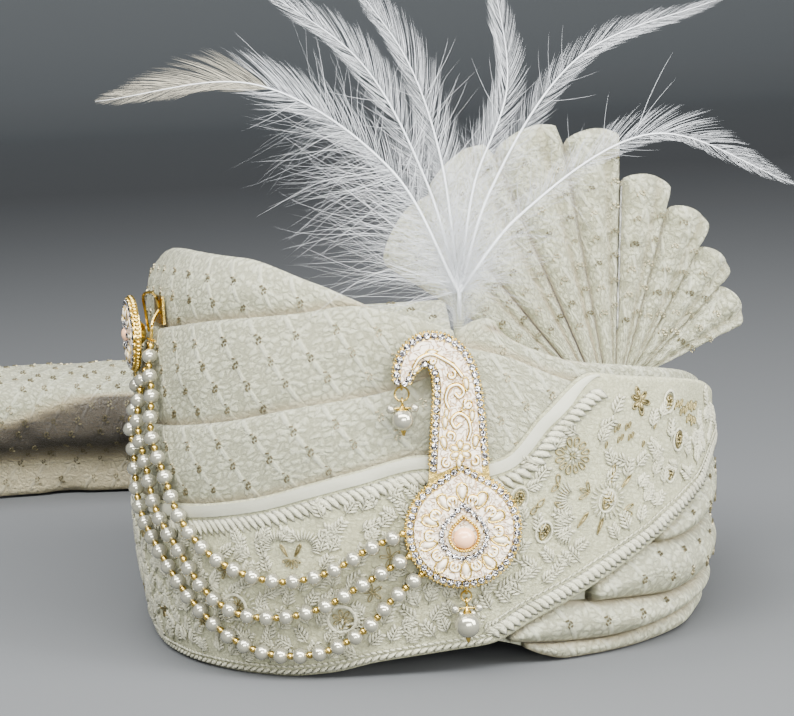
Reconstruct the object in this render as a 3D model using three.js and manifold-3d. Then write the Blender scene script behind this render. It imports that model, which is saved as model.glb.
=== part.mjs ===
// Tied turban pagri: a pre-tied groom's turban in ivory brocade, with its fan, plume, brooches,
// pearl strings and free end. Millimetres, +Z up, the brooch faces -Y.
import * as THREE from 'three';
import Module from 'manifold-3d';

const wasm = await Module();
wasm.setup();
const { Manifold, Mesh: SolidMesh } = wasm;

// Driving sizes
const BODY = { side: 108, front: 120, boxy: 2.6 };
const HEAD = { side: 79, front: 98 };
const CLOTH = { thick: 2.0, gap: 0.4, tuck: 12 };
const LAYER = CLOTH.thick + CLOTH.gap;
const CROWN = { centre: 108, thick: 3 };
const SIDES = { pearl: 10, wire: 5, loop: 12 };

// How the body narrows towards the rim and towards the crown
const GIRTH = [
  { at: 0, is: 0.935 }, { at: 12, is: 0.965 }, { at: 35, is: 0.99 }, { at: 60, is: 1.0 },
  { at: 90, is: 1.0 }, { at: 115, is: 0.975 }, { at: 140, is: 0.94 }, { at: 160, is: 0.9 },
];

// Heights of the lines where one wrap ends, by the angle from the front (negative to the left)
const ARCH = [
  { at: -180, is: 0 }, { at: -31, is: 0 }, { at: -22, is: 2 }, { at: -14, is: 6 }, { at: -2, is: 9 },
  { at: 4, is: 10 }, { at: 11, is: 7 }, { at: 15, is: 3 }, { at: 20, is: 0 }, { at: 180, is: 0 },
];
const LEFT_CROWN_TOP = [
  { at: -180, is: 102 }, { at: -160, is: 107 }, { at: -140, is: 118 }, { at: -120, is: 133 }, { at: -100, is: 147 },
  { at: -80, is: 155 }, { at: -60, is: 157 }, { at: -40, is: 156 }, { at: -23, is: 147 }, { at: -15, is: 140 }, { at: 0, is: 125 },
];
const LEFT_MIDDLE_TOP = [
  { at: -180, is: 82 }, { at: -140, is: 94 }, { at: -100, is: 117 }, { at: -80, is: 125 }, { at: -62, is: 128 }, { at: -41, is: 134 },
  { at: -25, is: 137 }, { at: -17, is: 139 }, { at: -7, is: 135 }, { at: 2, is: 128 },
];
const LEFT_LOWER_TOP = [
  { at: -180, is: 64 }, { at: -140, is: 72 }, { at: -100, is: 85 }, { at: -57, is: 92 }, { at: -39, is: 97 },
  { at: -25, is: 103 }, { at: -10, is: 108 }, { at: 2, is: 116 },
];
const PANEL_TOP = [
  { at: -180, is: 46 }, { at: -100, is: 57 }, { at: -48, is: 64 }, { at: -33, is: 69 }, { at: -23, is: 75 },
  { at: -16, is: 79 }, { at: -5, is: 84 }, { at: 3, is: 79 }, { at: 8, is: 81 }, { at: 15, is: 96 },
  { at: 24, is: 109 }, { at: 29, is: 107 }, { at: 51, is: 98 }, { at: 66, is: 89 }, { at: 85, is: 81 },
  { at: 100, is: 79 }, { at: 180, is: 79 },
];
const PANEL_LOW = [
  { at: -180, is: 0 }, { at: -31, is: 0 }, { at: -22, is: 2 }, { at: -14, is: 6 }, { at: -2, is: 9 },
  { at: 5, is: 10.5 }, { at: 13, is: 19 }, { at: 18, is: 24 }, { at: 35, is: 42 }, { at: 48, is: 54 },
  { at: 66, is: 67 }, { at: 85, is: 72 }, { at: 100, is: 73 }, { at: 180, is: 76 },
];
const RIGHT_UPPER_TOP = [
  { at: 2, is: 127 }, { at: 5, is: 131 }, { at: 8, is: 132 }, { at: 11, is: 125 }, { at: 16, is: 119 },
  { at: 22, is: 114 }, { at: 32, is: 110 }, { at: 51, is: 102 }, { at: 66, is: 94 }, { at: 90, is: 83 },
  { at: 120, is: 80 }, { at: 150, is: 86 }, { at: 180, is: 98 },
];
const RIGHT_LOWER_TOP = [
  { at: 2, is: 123 }, { at: 10, is: 118 }, { at: 21, is: 107 }, { at: 32, is: 101 }, { at: 51, is: 94 },
  { at: 66, is: 86 }, { at: 90, is: 77 }, { at: 120, is: 73 }, { at: 150, is: 76 }, { at: 180, is: 84 },
];
const RIGHT_LOWER_LOW = [
  { at: 2, is: 66 }, { at: 8, is: 68 }, { at: 15, is: 82 }, { at: 24, is: 96 }, { at: 51, is: 84 },
  { at: 66, is: 77 }, { at: 90, is: 69 }, { at: 120, is: 65 }, { at: 180, is: 68 },
];
const ROLL_1_TOP = [{ at: 30, is: 77 }, { at: 66, is: 75 }, { at: 90, is: 67 }, { at: 120, is: 63 }, { at: 180, is: 65 }];
const GROOVE_1 = [{ at: 24, is: 42 }, { at: 47, is: 39 }, { at: 66, is: 40 }, { at: 120, is: 42 }, { at: 180, is: 46 }];
const GROOVE_2 = [{ at: 10, is: 25 }, { at: 32, is: 20 }, { at: 47, is: 17 }, { at: 66, is: 18 }, { at: 180, is: 28 }];
const GROOVE_3 = [{ at: 8, is: 10 }, { at: 18, is: 7 }, { at: 29, is: 6 }, { at: 44, is: 8 }, { at: 66, is: 9 }, { at: 180, is: 13 }];
const WALL_TOP = [
  { at: -180, is: 90 }, { at: -160, is: 95 }, { at: -140, is: 106 }, { at: -120, is: 121 }, { at: -100, is: 136 },
  { at: -80, is: 144 }, { at: -60, is: 146 }, { at: -40, is: 144 }, { at: -23, is: 134 },
  { at: -7, is: 121 }, { at: 2, is: 116 }, { at: 16, is: 107 }, { at: 32, is: 98 }, { at: 62, is: 87 },
  { at: 90, is: 77 }, { at: 120, is: 72 }, { at: 150, is: 78 }, { at: 180, is: 90 },
];

// The wraps: layer counts outwards from the wall, low is the top line of the wrap that covers its foot
const WRAPS = [
  { name: 'left_fold_top', layer: 0, from: -179.8, to: -1, top: LEFT_CROWN_TOP, low: LEFT_MIDDLE_TOP, puff: 2.2 },
  { name: 'left_fold_middle', layer: 1, from: -179.8, to: 1.6, top: LEFT_MIDDLE_TOP, low: LEFT_LOWER_TOP, puff: 2.6 },
  { name: 'left_fold_lower', layer: 2, from: -179.8, to: 1.6, top: LEFT_LOWER_TOP, low: PANEL_TOP, puff: 2.2 },
  { name: 'right_crown_fold_1', layer: 2, from: 2, to: 179.8, top: RIGHT_LOWER_TOP, foot: RIGHT_LOWER_LOW, puff: 0 },
  { name: 'right_crown_fold_2', layer: 1, from: 2, to: 179.8, top: RIGHT_UPPER_TOP, low: RIGHT_LOWER_TOP, tuck: 6, puff: 0 },
  { name: 'front_panel', layer: 3.25, from: -179.8, to: 98, top: PANEL_TOP, foot: PANEL_LOW, puff: 0 },
];
const ROLLS = [
  { name: 'right_roll_1', from: 38, top: ROLL_1_TOP, foot: GROOVE_1, puff: 4.5 },
  { name: 'right_roll_2', from: 24, top: GROOVE_1, foot: GROOVE_2, puff: 4.5 },
  { name: 'right_roll_3', from: 9, top: GROOVE_2, foot: GROOVE_3, puff: 4.0 },
  { name: 'right_roll_4', from: 12, top: GROOVE_3, foot: ARCH, puff: 2.5 },
];
const ROLL_FACE = 6.8;

// The fan: ribs by the angle of their edges above +X, and how far each reaches from the fan's root
const FAN = { root: new THREE.Vector3(76, -40, 99), inner: 5, thick: 2.6, pleat: 4.5, lean: 6 };
const FAN_RIBS = [
  { start: 153, end: 141, reach: 103 }, { start: 141, end: 129, reach: 105 }, { start: 129, end: 118, reach: 104 },
  { start: 118, end: 108, reach: 101 }, { start: 108, end: 99, reach: 97 }, { start: 99, end: 91, reach: 94 },
  { start: 91, end: 84, reach: 90 }, { start: 84, end: 67, reach: 76 }, { start: 67, end: 50, reach: 71 },
  { start: 50, end: 33, reach: 63 }, { start: 33, end: 13, reach: 58 },
];

// The plume: each feather's rachis as x, depth and z of four points, and its widest half width
const PLUME_ROOT = new THREE.Vector3(9, -96, 131);
const FEATHERS = [
  { via: [-14, -92, 186], bend: [-62, -90, 220], tip: [-122, -88, 217], half: 13 },
  { via: [0, -84, 180], bend: [-22, -78, 226], tip: [-58, -74, 256], half: 9 },
  { via: [6, -80, 190], bend: [-4, -72, 226], tip: [-24, -66, 258], half: 9 },
  { via: [18, -84, 178], bend: [33, -78, 214], tip: [30, -72, 259], half: 8 },
  { via: [24, -86, 176], bend: [60, -84, 224], tip: [118, -80, 244], half: 8 },
  { via: [34, -90, 166], bend: [86, -90, 194], tip: [140, -90, 172], half: 9 },
];
const DOWN = { x: 15, y: 9, z: 22 };
const STEM = { foot: 113.4, high: 28.2 };

// Main brooch, laid out about the centre of its medallion
const BROOCH = { centre: new THREE.Vector3(2, -132.4, 56), tilt: 1.2, thick: 1.8, radius: 21.2, point: 25 };
const ENAMEL = { share: 0.64, radius: 17, point: 20.5, thick: 1.1 };
const HOOK = [
  { x: -0.7, z: 16, half: 11.4 }, { x: -0.2, z: 30, half: 10.4 }, { x: 0.2, z: 42, half: 9.6 },
  { x: 0.2, z: 52, half: 8.7 }, { x: -1.2, z: 60, half: 8.0 }, { x: -5.0, z: 65.3, half: 7.2 },
  { x: -10.3, z: 67.0, half: 6.4 }, { x: -15.2, z: 64.8, half: 5.4 }, { x: -18.4, z: 60.3, half: 4.3 },
  { x: -19.8, z: 55.6, half: 3.2 },
];
const STONE = { bezelX: 5.8, bezelZ: 6.7, halfX: 3.9, halfZ: 4.6, rise: 2.4, facets: 12 };
const LINK = { eye: 1.5, wire: 0.4, play: 1.1, dropLoop: 1.3 };
const DROPS = [
  { name: 'upper_drop', x: -20, z: 54.5, ring: 2.6, pearl: 4.2, sink: 6.6, small: 1.7 },
  { name: 'lower_drop', x: 0, z: -22.2, ring: 1.9, pearl: 5.0, sink: 8.6, small: 1.7 },
];

// Side brooch, edge on to the front, on the left of the crown
const SIDE = { phi: -67, z: 125, radius: 14.2, thick: 2.4, out: 13.4 };

const CONNECTOR = { z: 123.2, out: 8.6 };

// Pearl strings: angle and height of points on their run, and the bare thread before the first pearl
const STRINGS = [
  { name: 'pearl_strand_upper', pearls: 21, thread: 0.6, run: [
    { phi: -60.2, z: 122, out: 9.8 }, { phi: -59, z: 114 }, { phi: -57, z: 105 }, { phi: -55, z: 90 }, { phi: -51, z: 74 }, { phi: -47, z: 60 },
    { phi: -41, z: 48 }, { phi: -34, z: 41 }, { phi: -27, z: 39 }, { phi: -20, z: 43 }, { phi: -14, z: 51 },
    { phi: -8.6, z: 56.2 } ] },
  { name: 'pearl_strand_middle', pearls: 23, thread: 11, run: [
    { phi: -62.2, z: 122, out: 8.6 }, { phi: -62.6, z: 116, out: 8.6 }, { phi: -62.4, z: 107 }, { phi: -61, z: 92 }, { phi: -58, z: 76 }, { phi: -54, z: 60 }, { phi: -48, z: 47 },
    { phi: -43, z: 34 }, { phi: -37, z: 26 }, { phi: -29, z: 25 }, { phi: -22, z: 29 }, { phi: -15, z: 38 },
    { phi: -7.8, z: 47.6 } ] },
  { name: 'pearl_strand_lower', pearls: 26, thread: 24, run: [
    { phi: -64.2, z: 122, out: 8.4 }, { phi: -65, z: 111, out: 8 }, { phi: -65.2, z: 103, out: 8.4 }, { phi: -65.2, z: 92 }, { phi: -64.6, z: 80 }, { phi: -62, z: 60 }, { phi: -54, z: 44 }, { phi: -45, z: 26 },
    { phi: -37, z: 14 }, { phi: -30, z: 10 }, { phi: -22, z: 12 }, { phi: -15, z: 21 }, { phi: -11, z: 31 },
    { phi: -6, z: 40.6 } ] },
];
const BEAD = { pearl: 3.2, seed: 1.4, thread: 0.5, clear: 0.45 };

// Free end: stations from the crown down the back and along the table; gather goes from strap to bundle
const TAIL_PATH = [
  { x: 0, y: 97, z: 96.8, gather: 0 }, { x: 0, y: 109, z: 104.6, gather: 0 }, { x: 0, y: 119.5, z: 108.4, gather: 0 },
  { x: 0, y: 127, z: 97, gather: 0 }, { x: 0, y: 130.4, z: 80, gather: 0 }, { x: 0, y: 131.8, z: 62, gather: 0 },
  { x: 0, y: 131.9, z: 42, gather: 0 }, { x: -1, y: 136, z: 18, gather: 0.05 }, { x: -6, y: 160, z: 2, gather: 0.3 },
  { x: -16, y: 210, z: 0.4, gather: 0.75 }, { x: -46, y: 272, z: 0.4, gather: 0.95 }, { x: -106, y: 306, z: 0.4, gather: 1 },
  { x: -160, y: 314, z: 0.4, gather: 1 }, { x: -214, y: 312, z: 0.4, gather: 1 },
];
const TAIL = { strap: 56, thick: 2.4, lengths: 18, across: 13 };
const TAIL_BUNDLE = [
  { across: -22, rise: 0 }, { across: -25, rise: 20 }, { across: -42, rise: 34 }, { across: -41, rise: 54 },
  { across: -16, rise: 63 }, { across: 16, rise: 60 }, { across: 40, rise: 42 }, { across: 45, rise: 10 },
  { across: 30, rise: 2 }, { across: 2, rise: 4 }, { across: -12, rise: 16 }, { across: -2, rise: 36 }, { across: 20, rise: 34 },
];

// Smooth value of a table at x: a cubic that never overshoots its rows
function along(table, x) {
  const last = table.length - 1;
  if (x <= table[0].at) return table[0].is;
  if (x >= table[last].at) return table[last].is;
  let i = 0;
  while (x > table[i + 1].at) i += 1;
  const slope = (k) => (table[k + 1].is - table[k].is) / (table[k + 1].at - table[k].at);
  const tangent = (k) => {
    if (k === 0) return slope(0);
    if (k === last) return slope(last - 1);
    const a = slope(k - 1);
    const b = slope(k);
    return a * b <= 0 ? 0 : (2 * a * b) / (a + b);
  };
  const span = table[i + 1].at - table[i].at;
  const t = (x - table[i].at) / span;
  const ease = t * t * (3 - 2 * t);
  const from = t * (1 - t) ** 2 * span * tangent(i);
  const into = t * t * (t - 1) * span * tangent(i + 1);
  return table[i].is * (1 - ease) + table[i + 1].is * ease + from + into;
}

const rad = THREE.MathUtils.degToRad;

// Radius of the rounded oval with the two half widths, at an angle from the front
function ovalRadius(phi, side, front, boxy = BODY.boxy) {
  const x = Math.abs(Math.sin(rad(phi))) / side;
  const y = Math.abs(Math.cos(rad(phi))) / front;
  return (x ** boxy + y ** boxy) ** (-1 / boxy);
}

// Point on the body at an angle and height, a distance outside the wall
function around(phi, z, out = 0) {
  const girth = along(GIRTH, z);
  const r = ovalRadius(phi, BODY.side * girth + out, BODY.front * girth + out);
  return new THREE.Vector3(r * Math.sin(rad(phi)), -r * Math.cos(rad(phi)), z);
}

// Top of the crown cover at an angle and a share of the way out to the wall's face
function coverTop(phi, share) {
  return along(WALL_TOP, phi) * share + CROWN.centre * (1 - share);
}

// Closed solid skinned over rings of points; strip caps suit a wall's section, fan caps a round one
function skin(rings, { loop = false, cap = 'fan' } = {}) {
  const index = [];
  const keys = new Map();
  const places = [];
  const weld = (p) => {
    const key = [p.x, p.y, p.z].map((v) => Math.round(v * 500)).join(',');
    if (!keys.has(key)) {
      keys.set(key, places.length / 3);
      places.push(p.x, p.y, p.z);
    }
    return keys.get(key);
  };
  const ids = rings.map((ring) => ring.map(weld));
  const face = (a, b, c) => { if (a !== b && b !== c && a !== c) index.push(a, b, c); };
  const quad = (a, b, c, d) => { face(a, b, c); face(a, c, d); };
  const count = rings[0].length;
  const steps = loop ? rings.length : rings.length - 1;
  for (let i = 0; i < steps; i += 1) {
    const here = ids[i];
    const next = ids[(i + 1) % rings.length];
    for (let j = 0; j < count; j += 1) quad(here[j], here[(j + 1) % count], next[(j + 1) % count], next[j]);
  }
  if (!loop) {
    [ids[0], ids[ids.length - 1]].forEach((ring, end) => {
      const turn = end === 0 ? (a, b, c) => face(a, c, b) : face;
      if (cap === 'strip') {
        for (let j = 0; j < count / 2 - 1; j += 1) {
          const k = count - 1 - j;
          turn(ring[j], ring[j + 1], ring[k - 1]);
          turn(ring[j], ring[k - 1], ring[k]);
        }
      } else {
        for (let j = 1; j < count - 1; j += 1) turn(ring[0], ring[j], ring[j + 1]);
      }
    });
  }
  const geometry = new THREE.BufferGeometry();
  geometry.setAttribute('position', new THREE.Float32BufferAttribute(places, 3));
  geometry.setIndex(volume(places, index) < 0 ? flipped(index) : index);
  return geometry;
}

function volume(places, index) {
  let six = 0;
  const p = (i) => new THREE.Vector3().fromArray(places, i * 3);
  for (let i = 0; i < index.length; i += 3) six += p(index[i]).dot(p(index[i + 1]).cross(p(index[i + 2])));
  return six / 6;
}

function flipped(index) {
  const out = index.slice();
  for (let i = 0; i < out.length; i += 3) [out[i + 1], out[i + 2]] = [out[i + 2], out[i + 1]];
  return out;
}

// A closed geometry as a solid for joining and cutting, and back again
function solid(geometry) {
  const places = geometry.getAttribute('position');
  const mesh = new SolidMesh({
    numProp: 3,
    vertProperties: new Float32Array(places.array),
    triVerts: geometry.index ? new Uint32Array(geometry.index.array)
      : Uint32Array.from({ length: places.count }, (_, i) => i),
  });
  mesh.merge();
  return new Manifold(mesh);
}

function fromSolid(body) {
  const mesh = body.getMesh();
  const geometry = new THREE.BufferGeometry();
  geometry.setAttribute('position', new THREE.Float32BufferAttribute(mesh.vertProperties, 3));
  geometry.setIndex(Array.from(mesh.triVerts));
  return geometry;
}

// Several closed geometries joined into one closed body
const fuse = (geometries) => fromSolid(Manifold.union(geometries.map(solid)));

// Plain copy of a stock geometry with positions only, welded by fuse
function bare(geometry, matrix = new THREE.Matrix4()) {
  const copy = new THREE.BufferGeometry();
  copy.setAttribute('position', geometry.getAttribute('position').clone());
  if (geometry.index) copy.setIndex(geometry.index.clone());
  return copy.applyMatrix4(matrix);
}

const at = (x, y, z) => new THREE.Matrix4().makeTranslation(x, y, z);

// Materials
const look = (color, roughness, metalness = 0) => new THREE.MeshStandardMaterial({ color, roughness, metalness });
const MATERIAL = {
  brocade: () => look(0xe6dfcd, 0.85),
  satin: () => look(0xe9e6dd, 0.6),
  gold: () => look(0xc9a04a, 0.3, 1),
  enamel: () => look(0xf1d9c4, 0.35),
  stone: () => look(0xefb79d, 0.15),
  pearl: () => look(0xf1efec, 0.25),
  feather: () => look(0xf4f5f6, 0.9),
  steel: () => look(0xb8b8b4, 0.35, 1),
};

const pagri = new THREE.Group();
pagri.name = 'tied_turban_pagri';

function add(name, geometry, material, parent = pagri) {
  const mesh = new THREE.Mesh(geometry, material);
  mesh.name = name;
  parent.add(mesh);
  return mesh;
}

// Angles of a sweep: all pieces share one grid, so nested walls keep their gaps
const STEP = 10;
function sweep(from, to) {
  const inside = [];
  for (let phi = Math.ceil((from + 2) / STEP) * STEP; phi < to - 2; phi += STEP) inside.push(phi);
  return [from, ...inside, to];
}

// Wound wall with the head hollow, flat under its rim
function baseWrap() {
  const rings = sweep(-180, 180).slice(0, -1).map((phi) => {
    const top = along(WALL_TOP, phi);
    const low = along(ARCH, phi);
    const inner = (z) => {
      const r = ovalRadius(phi, HEAD.side, HEAD.front);
      return new THREE.Vector3(r * Math.sin(rad(phi)), -r * Math.cos(rad(phi)), z);
    };
    const wall = around(phi, top);
    const share = inner(0).setZ(0).length() / Math.hypot(wall.x, wall.y);
    const seat = coverTop(phi, share) - CROWN.thick - CLOTH.gap;
    const face = top - CROWN.thick - CLOTH.gap;
    const outer = [0, 0.12, 0.35, 0.62, 1].map((s) => around(phi, low + (face - low) * s));
    return [...outer, inner(seat), inner(low)];
  });
  return skin(rings, { loop: true });
}

// Cloth that closes the crown, resting on the wall
function crownCover() {
  const shares = [0, 0.35, 0.7, 1];
  const rings = sweep(-180, 180).slice(0, -1).map((phi) => {
    const wall = around(phi, along(WALL_TOP, phi));
    const point = (share, drop) => new THREE.Vector3(wall.x * share, wall.y * share, coverTop(phi, share) - drop);
    return [...shares.map((s) => point(s, 0)), ...shares.map((s) => point(s, CROWN.thick)).reverse()];
  });
  return skin(rings, { loop: true });
}

// One wrap of cloth: its section at an angle runs from a tucked foot to its top edge
function wrapSection(wrap, phi) {
  const inner = CLOTH.gap + wrap.layer * LAYER;
  const tuck = wrap.tuck ?? CLOTH.tuck;
  const top = Math.max(along(wrap.top, phi), wrap.low ? along(wrap.low, phi) - tuck + 2 : 0);
  const cover = wrap.low ? Math.min(along(wrap.low, phi), top - 1) : along(wrap.foot, phi);
  const foot = wrap.low ? Math.min(cover - tuck, top - 2) : cover;
  const places = [
    { z: foot, puff: 0 }, { z: cover, puff: 0 }, { z: cover + (top - cover) * 0.3, puff: 0.85 },
    { z: cover + (top - cover) * 0.7, puff: 1 }, { z: top, puff: 0.15 },
  ];
  if (foot === cover) places[1] = { z: foot + (top - foot) * 0.12, puff: 0.3 };
  const height = Math.min(1, Math.max(0, (top - cover) / 16));
  const outer = places.map((p) => around(phi, p.z, inner + CLOTH.thick + wrap.puff * p.puff * height));
  const back = places.map((p) => around(phi, p.z, inner + wrap.puff * p.puff * height));
  return [...outer, ...back.reverse()];
}

// One padded roll on the right: it bulges where the panel leaves it bare
function rollSection(roll, phi) {
  const hem = along(PANEL_LOW, phi);
  const foot = along(roll.foot, phi) + 0.25;
  const top = Math.max(foot + 1.2, Math.min(along(roll.top, phi) - 0.25, hem + CLOTH.tuck));
  const bareTop = Math.min(top, Math.max(foot + 0.6, hem - 1));
  const swell = roll.puff * Math.min(1, Math.max(0, (bareTop - foot - 1) / 9));
  const places = [0, 0.25, 0.75, 1].map((s) => ({ z: foot + (bareTop - foot) * s, puff: Math.sin(Math.PI * s) ** 0.7 }));
  places.push({ z: Math.max(top, bareTop + 0.1), puff: 0 });
  const edge = top > bareTop + 1 ? ROLL_FACE : ROLL_FACE - 2.5;
  const face = [ROLL_FACE - 2.5, ROLL_FACE, ROLL_FACE, edge, edge];
  const outer = places.map((p, i) => around(phi, p.z, face[i] + swell * p.puff));
  const back = places.map((p) => around(phi, p.z, CLOTH.gap));
  return [...outer, ...back.reverse()];
}

// Pleated fan, gathered at its root
function fan() {
  const rings = [];
  FAN_RIBS.forEach((rib, k) => {
    const parts = k === FAN_RIBS.length - 1 ? [0, 0.25, 0.5, 0.75, 1] : [0, 0.25, 0.5, 0.75];
    const before = k > 0 ? FAN_RIBS[k - 1].reach : rib.reach;
    parts.forEach((s) => {
      const angle = rad(rib.start + (rib.end - rib.start) * s);
      const hump = Math.sin(Math.PI * s);
      const notch = s === 0 ? Math.min(before, rib.reach) - 5 : rib.reach - 5 * (1 - hump);
      const reach = s === 1 ? rib.reach - 6 : notch;
      const point = (share, side) => {
        const r = FAN.inner + (reach - FAN.inner) * share;
        const depth = FAN.pleat * (0.15 + 0.85 * share) * (hump - 0.5) + side * FAN.thick / 2;
        const rise = r * Math.sin(angle);
        return new THREE.Vector3(FAN.root.x + r * Math.cos(angle),
          FAN.root.y - depth + rise * Math.tan(rad(FAN.lean)), FAN.root.z + rise);
      };
      const shares = [0, 0.3, 0.65, 1];
      rings.push([...shares.map((v) => point(v, 1)), ...shares.map((v) => point(v, -1)).reverse()]);
    });
  });
  const root = bare(new THREE.SphereGeometry(1, 10, 6), new THREE.Matrix4().makeScale(9, 5, 8).premultiply(
    at(FAN.root.x, FAN.root.y, FAN.root.z + 2)));
  return fuse([skin(rings, { cap: 'strip' }), root]);
}

// One feather as a flat tapered vane along its rachis
function feather(row) {
  const line = new THREE.CatmullRomCurve3([
    PLUME_ROOT.clone().setZ(PLUME_ROOT.z + 8), new THREE.Vector3(...row.via), new THREE.Vector3(...row.bend), new THREE.Vector3(...row.tip),
  ]);
  const count = 8;
  const rings = [];
  for (let i = 0; i <= count; i += 1) {
    const t = i / count;
    const p = line.getPoint(t);
    const way = line.getTangent(t);
    const side = new THREE.Vector3(way.z, 0, -way.x).normalize();
    const half = Math.max(0.8, row.half * Math.sin(Math.PI * Math.min(1, t * 0.9 + 0.08)) ** 0.8 * (t < 0.3 ? 0.35 + 2.2 * t : 1));
    const deep = new THREE.Vector3(0, 0.8, 0);
    rings.push([p.clone().addScaledVector(side, half), p.clone().add(deep), p.clone().addScaledVector(side, -half), p.clone().sub(deep)]);
  }
  return skin(rings);
}

function plume() {
  const down = bare(new THREE.SphereGeometry(1, 12, 8), new THREE.Matrix4().makeScale(DOWN.x, DOWN.y, DOWN.z)
    .premultiply(at(PLUME_ROOT.x - 2, PLUME_ROOT.y + 2, PLUME_ROOT.z + DOWN.z - 2)));
  const stem = bare(new THREE.CylinderGeometry(2.2, 2.2, STEM.high, 8), new THREE.Matrix4().makeRotationX(Math.PI / 2)
    .premultiply(at(PLUME_ROOT.x, PLUME_ROOT.y + 4, STEM.foot + STEM.high / 2)));
  return fuse([down, stem, ...FEATHERS.map(feather)]);
}

// Outline of the hook, at a share of its full width
function hookShape(share) {
  const middle = HOOK.map((row) => new THREE.Vector2(row.x, row.z));
  const edge = (sign) => middle.map((p, i) => {
    const way = middle[Math.min(i + 1, middle.length - 1)].clone().sub(middle[Math.max(i - 1, 0)]).normalize();
    return new THREE.Vector2(p.x - sign * way.y * HOOK[i].half * share, p.y + sign * way.x * HOOK[i].half * share);
  });
  const shape = new THREE.Shape();
  const left = edge(1);
  const right = edge(-1);
  shape.setFromPoints([...right, ...left.reverse()]);
  return shape;
}

// Round medallion outline drawn up to a point on top
function medallionShape(radius, point) {
  const shape = new THREE.Shape();
  const half = Math.acos(radius / point);
  shape.moveTo(0, point);
  shape.absarc(0, 0, radius, Math.PI / 2 - half, Math.PI / 2 + half, true);
  return shape;
}

function slab(shape, depth, lift = 0) {
  return bare(new THREE.ExtrudeGeometry(shape, { depth, bevelEnabled: false, curveSegments: 16 }), at(0, 0, lift));
}

// A wire ring; face 'front' shows it as a circle from the front, 'side' from the side
function wireRing(radius, face, x, y, z, wire = LINK.wire) {
  const turn = face === 'side' ? new THREE.Matrix4().makeRotationY(Math.PI / 2) : new THREE.Matrix4();
  return bare(new THREE.TorusGeometry(radius, wire, SIDES.wire, SIDES.loop), turn.premultiply(at(x, y, z)));
}

// Brooch parts are drawn flat, then stood up in one tilted group
function brooch() {
  const group = new THREE.Group();
  group.position.copy(BROOCH.centre);
  group.rotation.x = rad(90 - BROOCH.tilt);
  pagri.add(group);
  const middle = BROOCH.thick / 2;
  const eyes = DROPS.map((drop) => wireRing(LINK.eye, 'side', drop.x, drop.z, middle));
  add('brooch_plate', fuse([slab(medallionShape(BROOCH.radius, BROOCH.point), BROOCH.thick),
    slab(hookShape(1), BROOCH.thick), ...eyes]), MATERIAL.gold(), group);
  const lift = BROOCH.thick + 0.3;
  add('brooch_medallion_enamel', fuse([slab(medallionShape(ENAMEL.radius, ENAMEL.point), ENAMEL.thick, lift)]), MATERIAL.enamel(), group);
  const hook = hookShape(ENAMEL.share);
  const clear = bare(new THREE.BoxGeometry(60, 60, 20), at(0, ENAMEL.point - 30 + 0.6, 0));
  add('brooch_hook_enamel', fromSolid(solid(slab(hook, ENAMEL.thick, lift)).subtract(solid(clear))), MATERIAL.enamel(), group);
  add('brooch_stone', fuse([bezel(), facetedStone()]), MATERIAL.stone(), group);
  const pin = bare(new THREE.CylinderGeometry(0.45, 0.45, 30, 8), at(0.2, -2, -0.8));
  add('brooch_pin', fuse([pin]), MATERIAL.steel(), group);
  DROPS.forEach((drop) => addDrop(drop, middle, group));
}

function bezel() {
  const ring = (grow, z) => Array.from({ length: 24 }, (_, i) => {
    const a = (i / 24) * Math.PI * 2;
    return new THREE.Vector3(STONE.bezelX * grow * Math.cos(a), STONE.bezelZ * grow * Math.sin(a), z);
  });
  const lift = BROOCH.thick + ENAMEL.thick + 0.6;
  return skin([ring(1, lift), ring(1, lift + 1), ring(0.8, lift + 1.6), ring(0.74, lift + 1)]);
}

// Cut stone: a girdle, a ring of facets and a flat table
function facetedStone() {
  const ring = (grow, z, turn) => Array.from({ length: STONE.facets }, (_, i) => {
    const a = ((i + turn) / STONE.facets) * Math.PI * 2;
    return new THREE.Vector3(STONE.halfX * grow * Math.cos(a), STONE.halfZ * grow * Math.sin(a), z);
  });
  const lift = BROOCH.thick + ENAMEL.thick + 0.8;
  return skin([ring(1.05, lift, 0), ring(1.05, lift + 0.8, 0), ring(0.62, lift + STONE.rise, 0.5)]);
}

// A jump ring through the brooch's eye, and a pearl drop on it
function addDrop(drop, depth, group) {
  const ringZ = drop.z - LINK.eye + LINK.play - drop.ring;
  add(`${drop.name}_ring`, fuse([wireRing(drop.ring, 'front', drop.x, ringZ, depth)]), MATERIAL.gold(), group);
  const loopZ = ringZ - drop.ring + LINK.play - LINK.dropLoop;
  const pearlZ = loopZ - drop.sink;
  const ball = (r, x, z, y, across = 12, down = 7) => bare(new THREE.SphereGeometry(r, across, down), at(drop.x + x, z, depth + y));
  const stem = bare(new THREE.CylinderGeometry(0.45, 0.45, drop.sink, 6), at(drop.x, loopZ - LINK.dropLoop - drop.sink / 2 + 0.6, depth));
  const solids = [wireRing(LINK.dropLoop, 'side', drop.x, loopZ, depth), stem, ball(drop.pearl, 0, pearlZ, 0)];
  [-1, 1].forEach((sign) => {
    const arm = bare(new THREE.CylinderGeometry(0.4, 0.4, 5, 6), new THREE.Matrix4().makeRotationZ(Math.PI / 2)
      .premultiply(at(drop.x + sign * 2, loopZ - 2.6, depth)));
    solids.push(arm, ball(drop.small, sign * 4.4, loopZ - 2.6, 0, 8, 5));
  });
  solids.push(bare(new THREE.ConeGeometry(1.2, 2.6, 8), at(drop.x, pearlZ - drop.pearl - 0.4, depth)));
  add(`${drop.name}_pearls`, fuse(solids), MATERIAL.pearl(), group);
}

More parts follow.
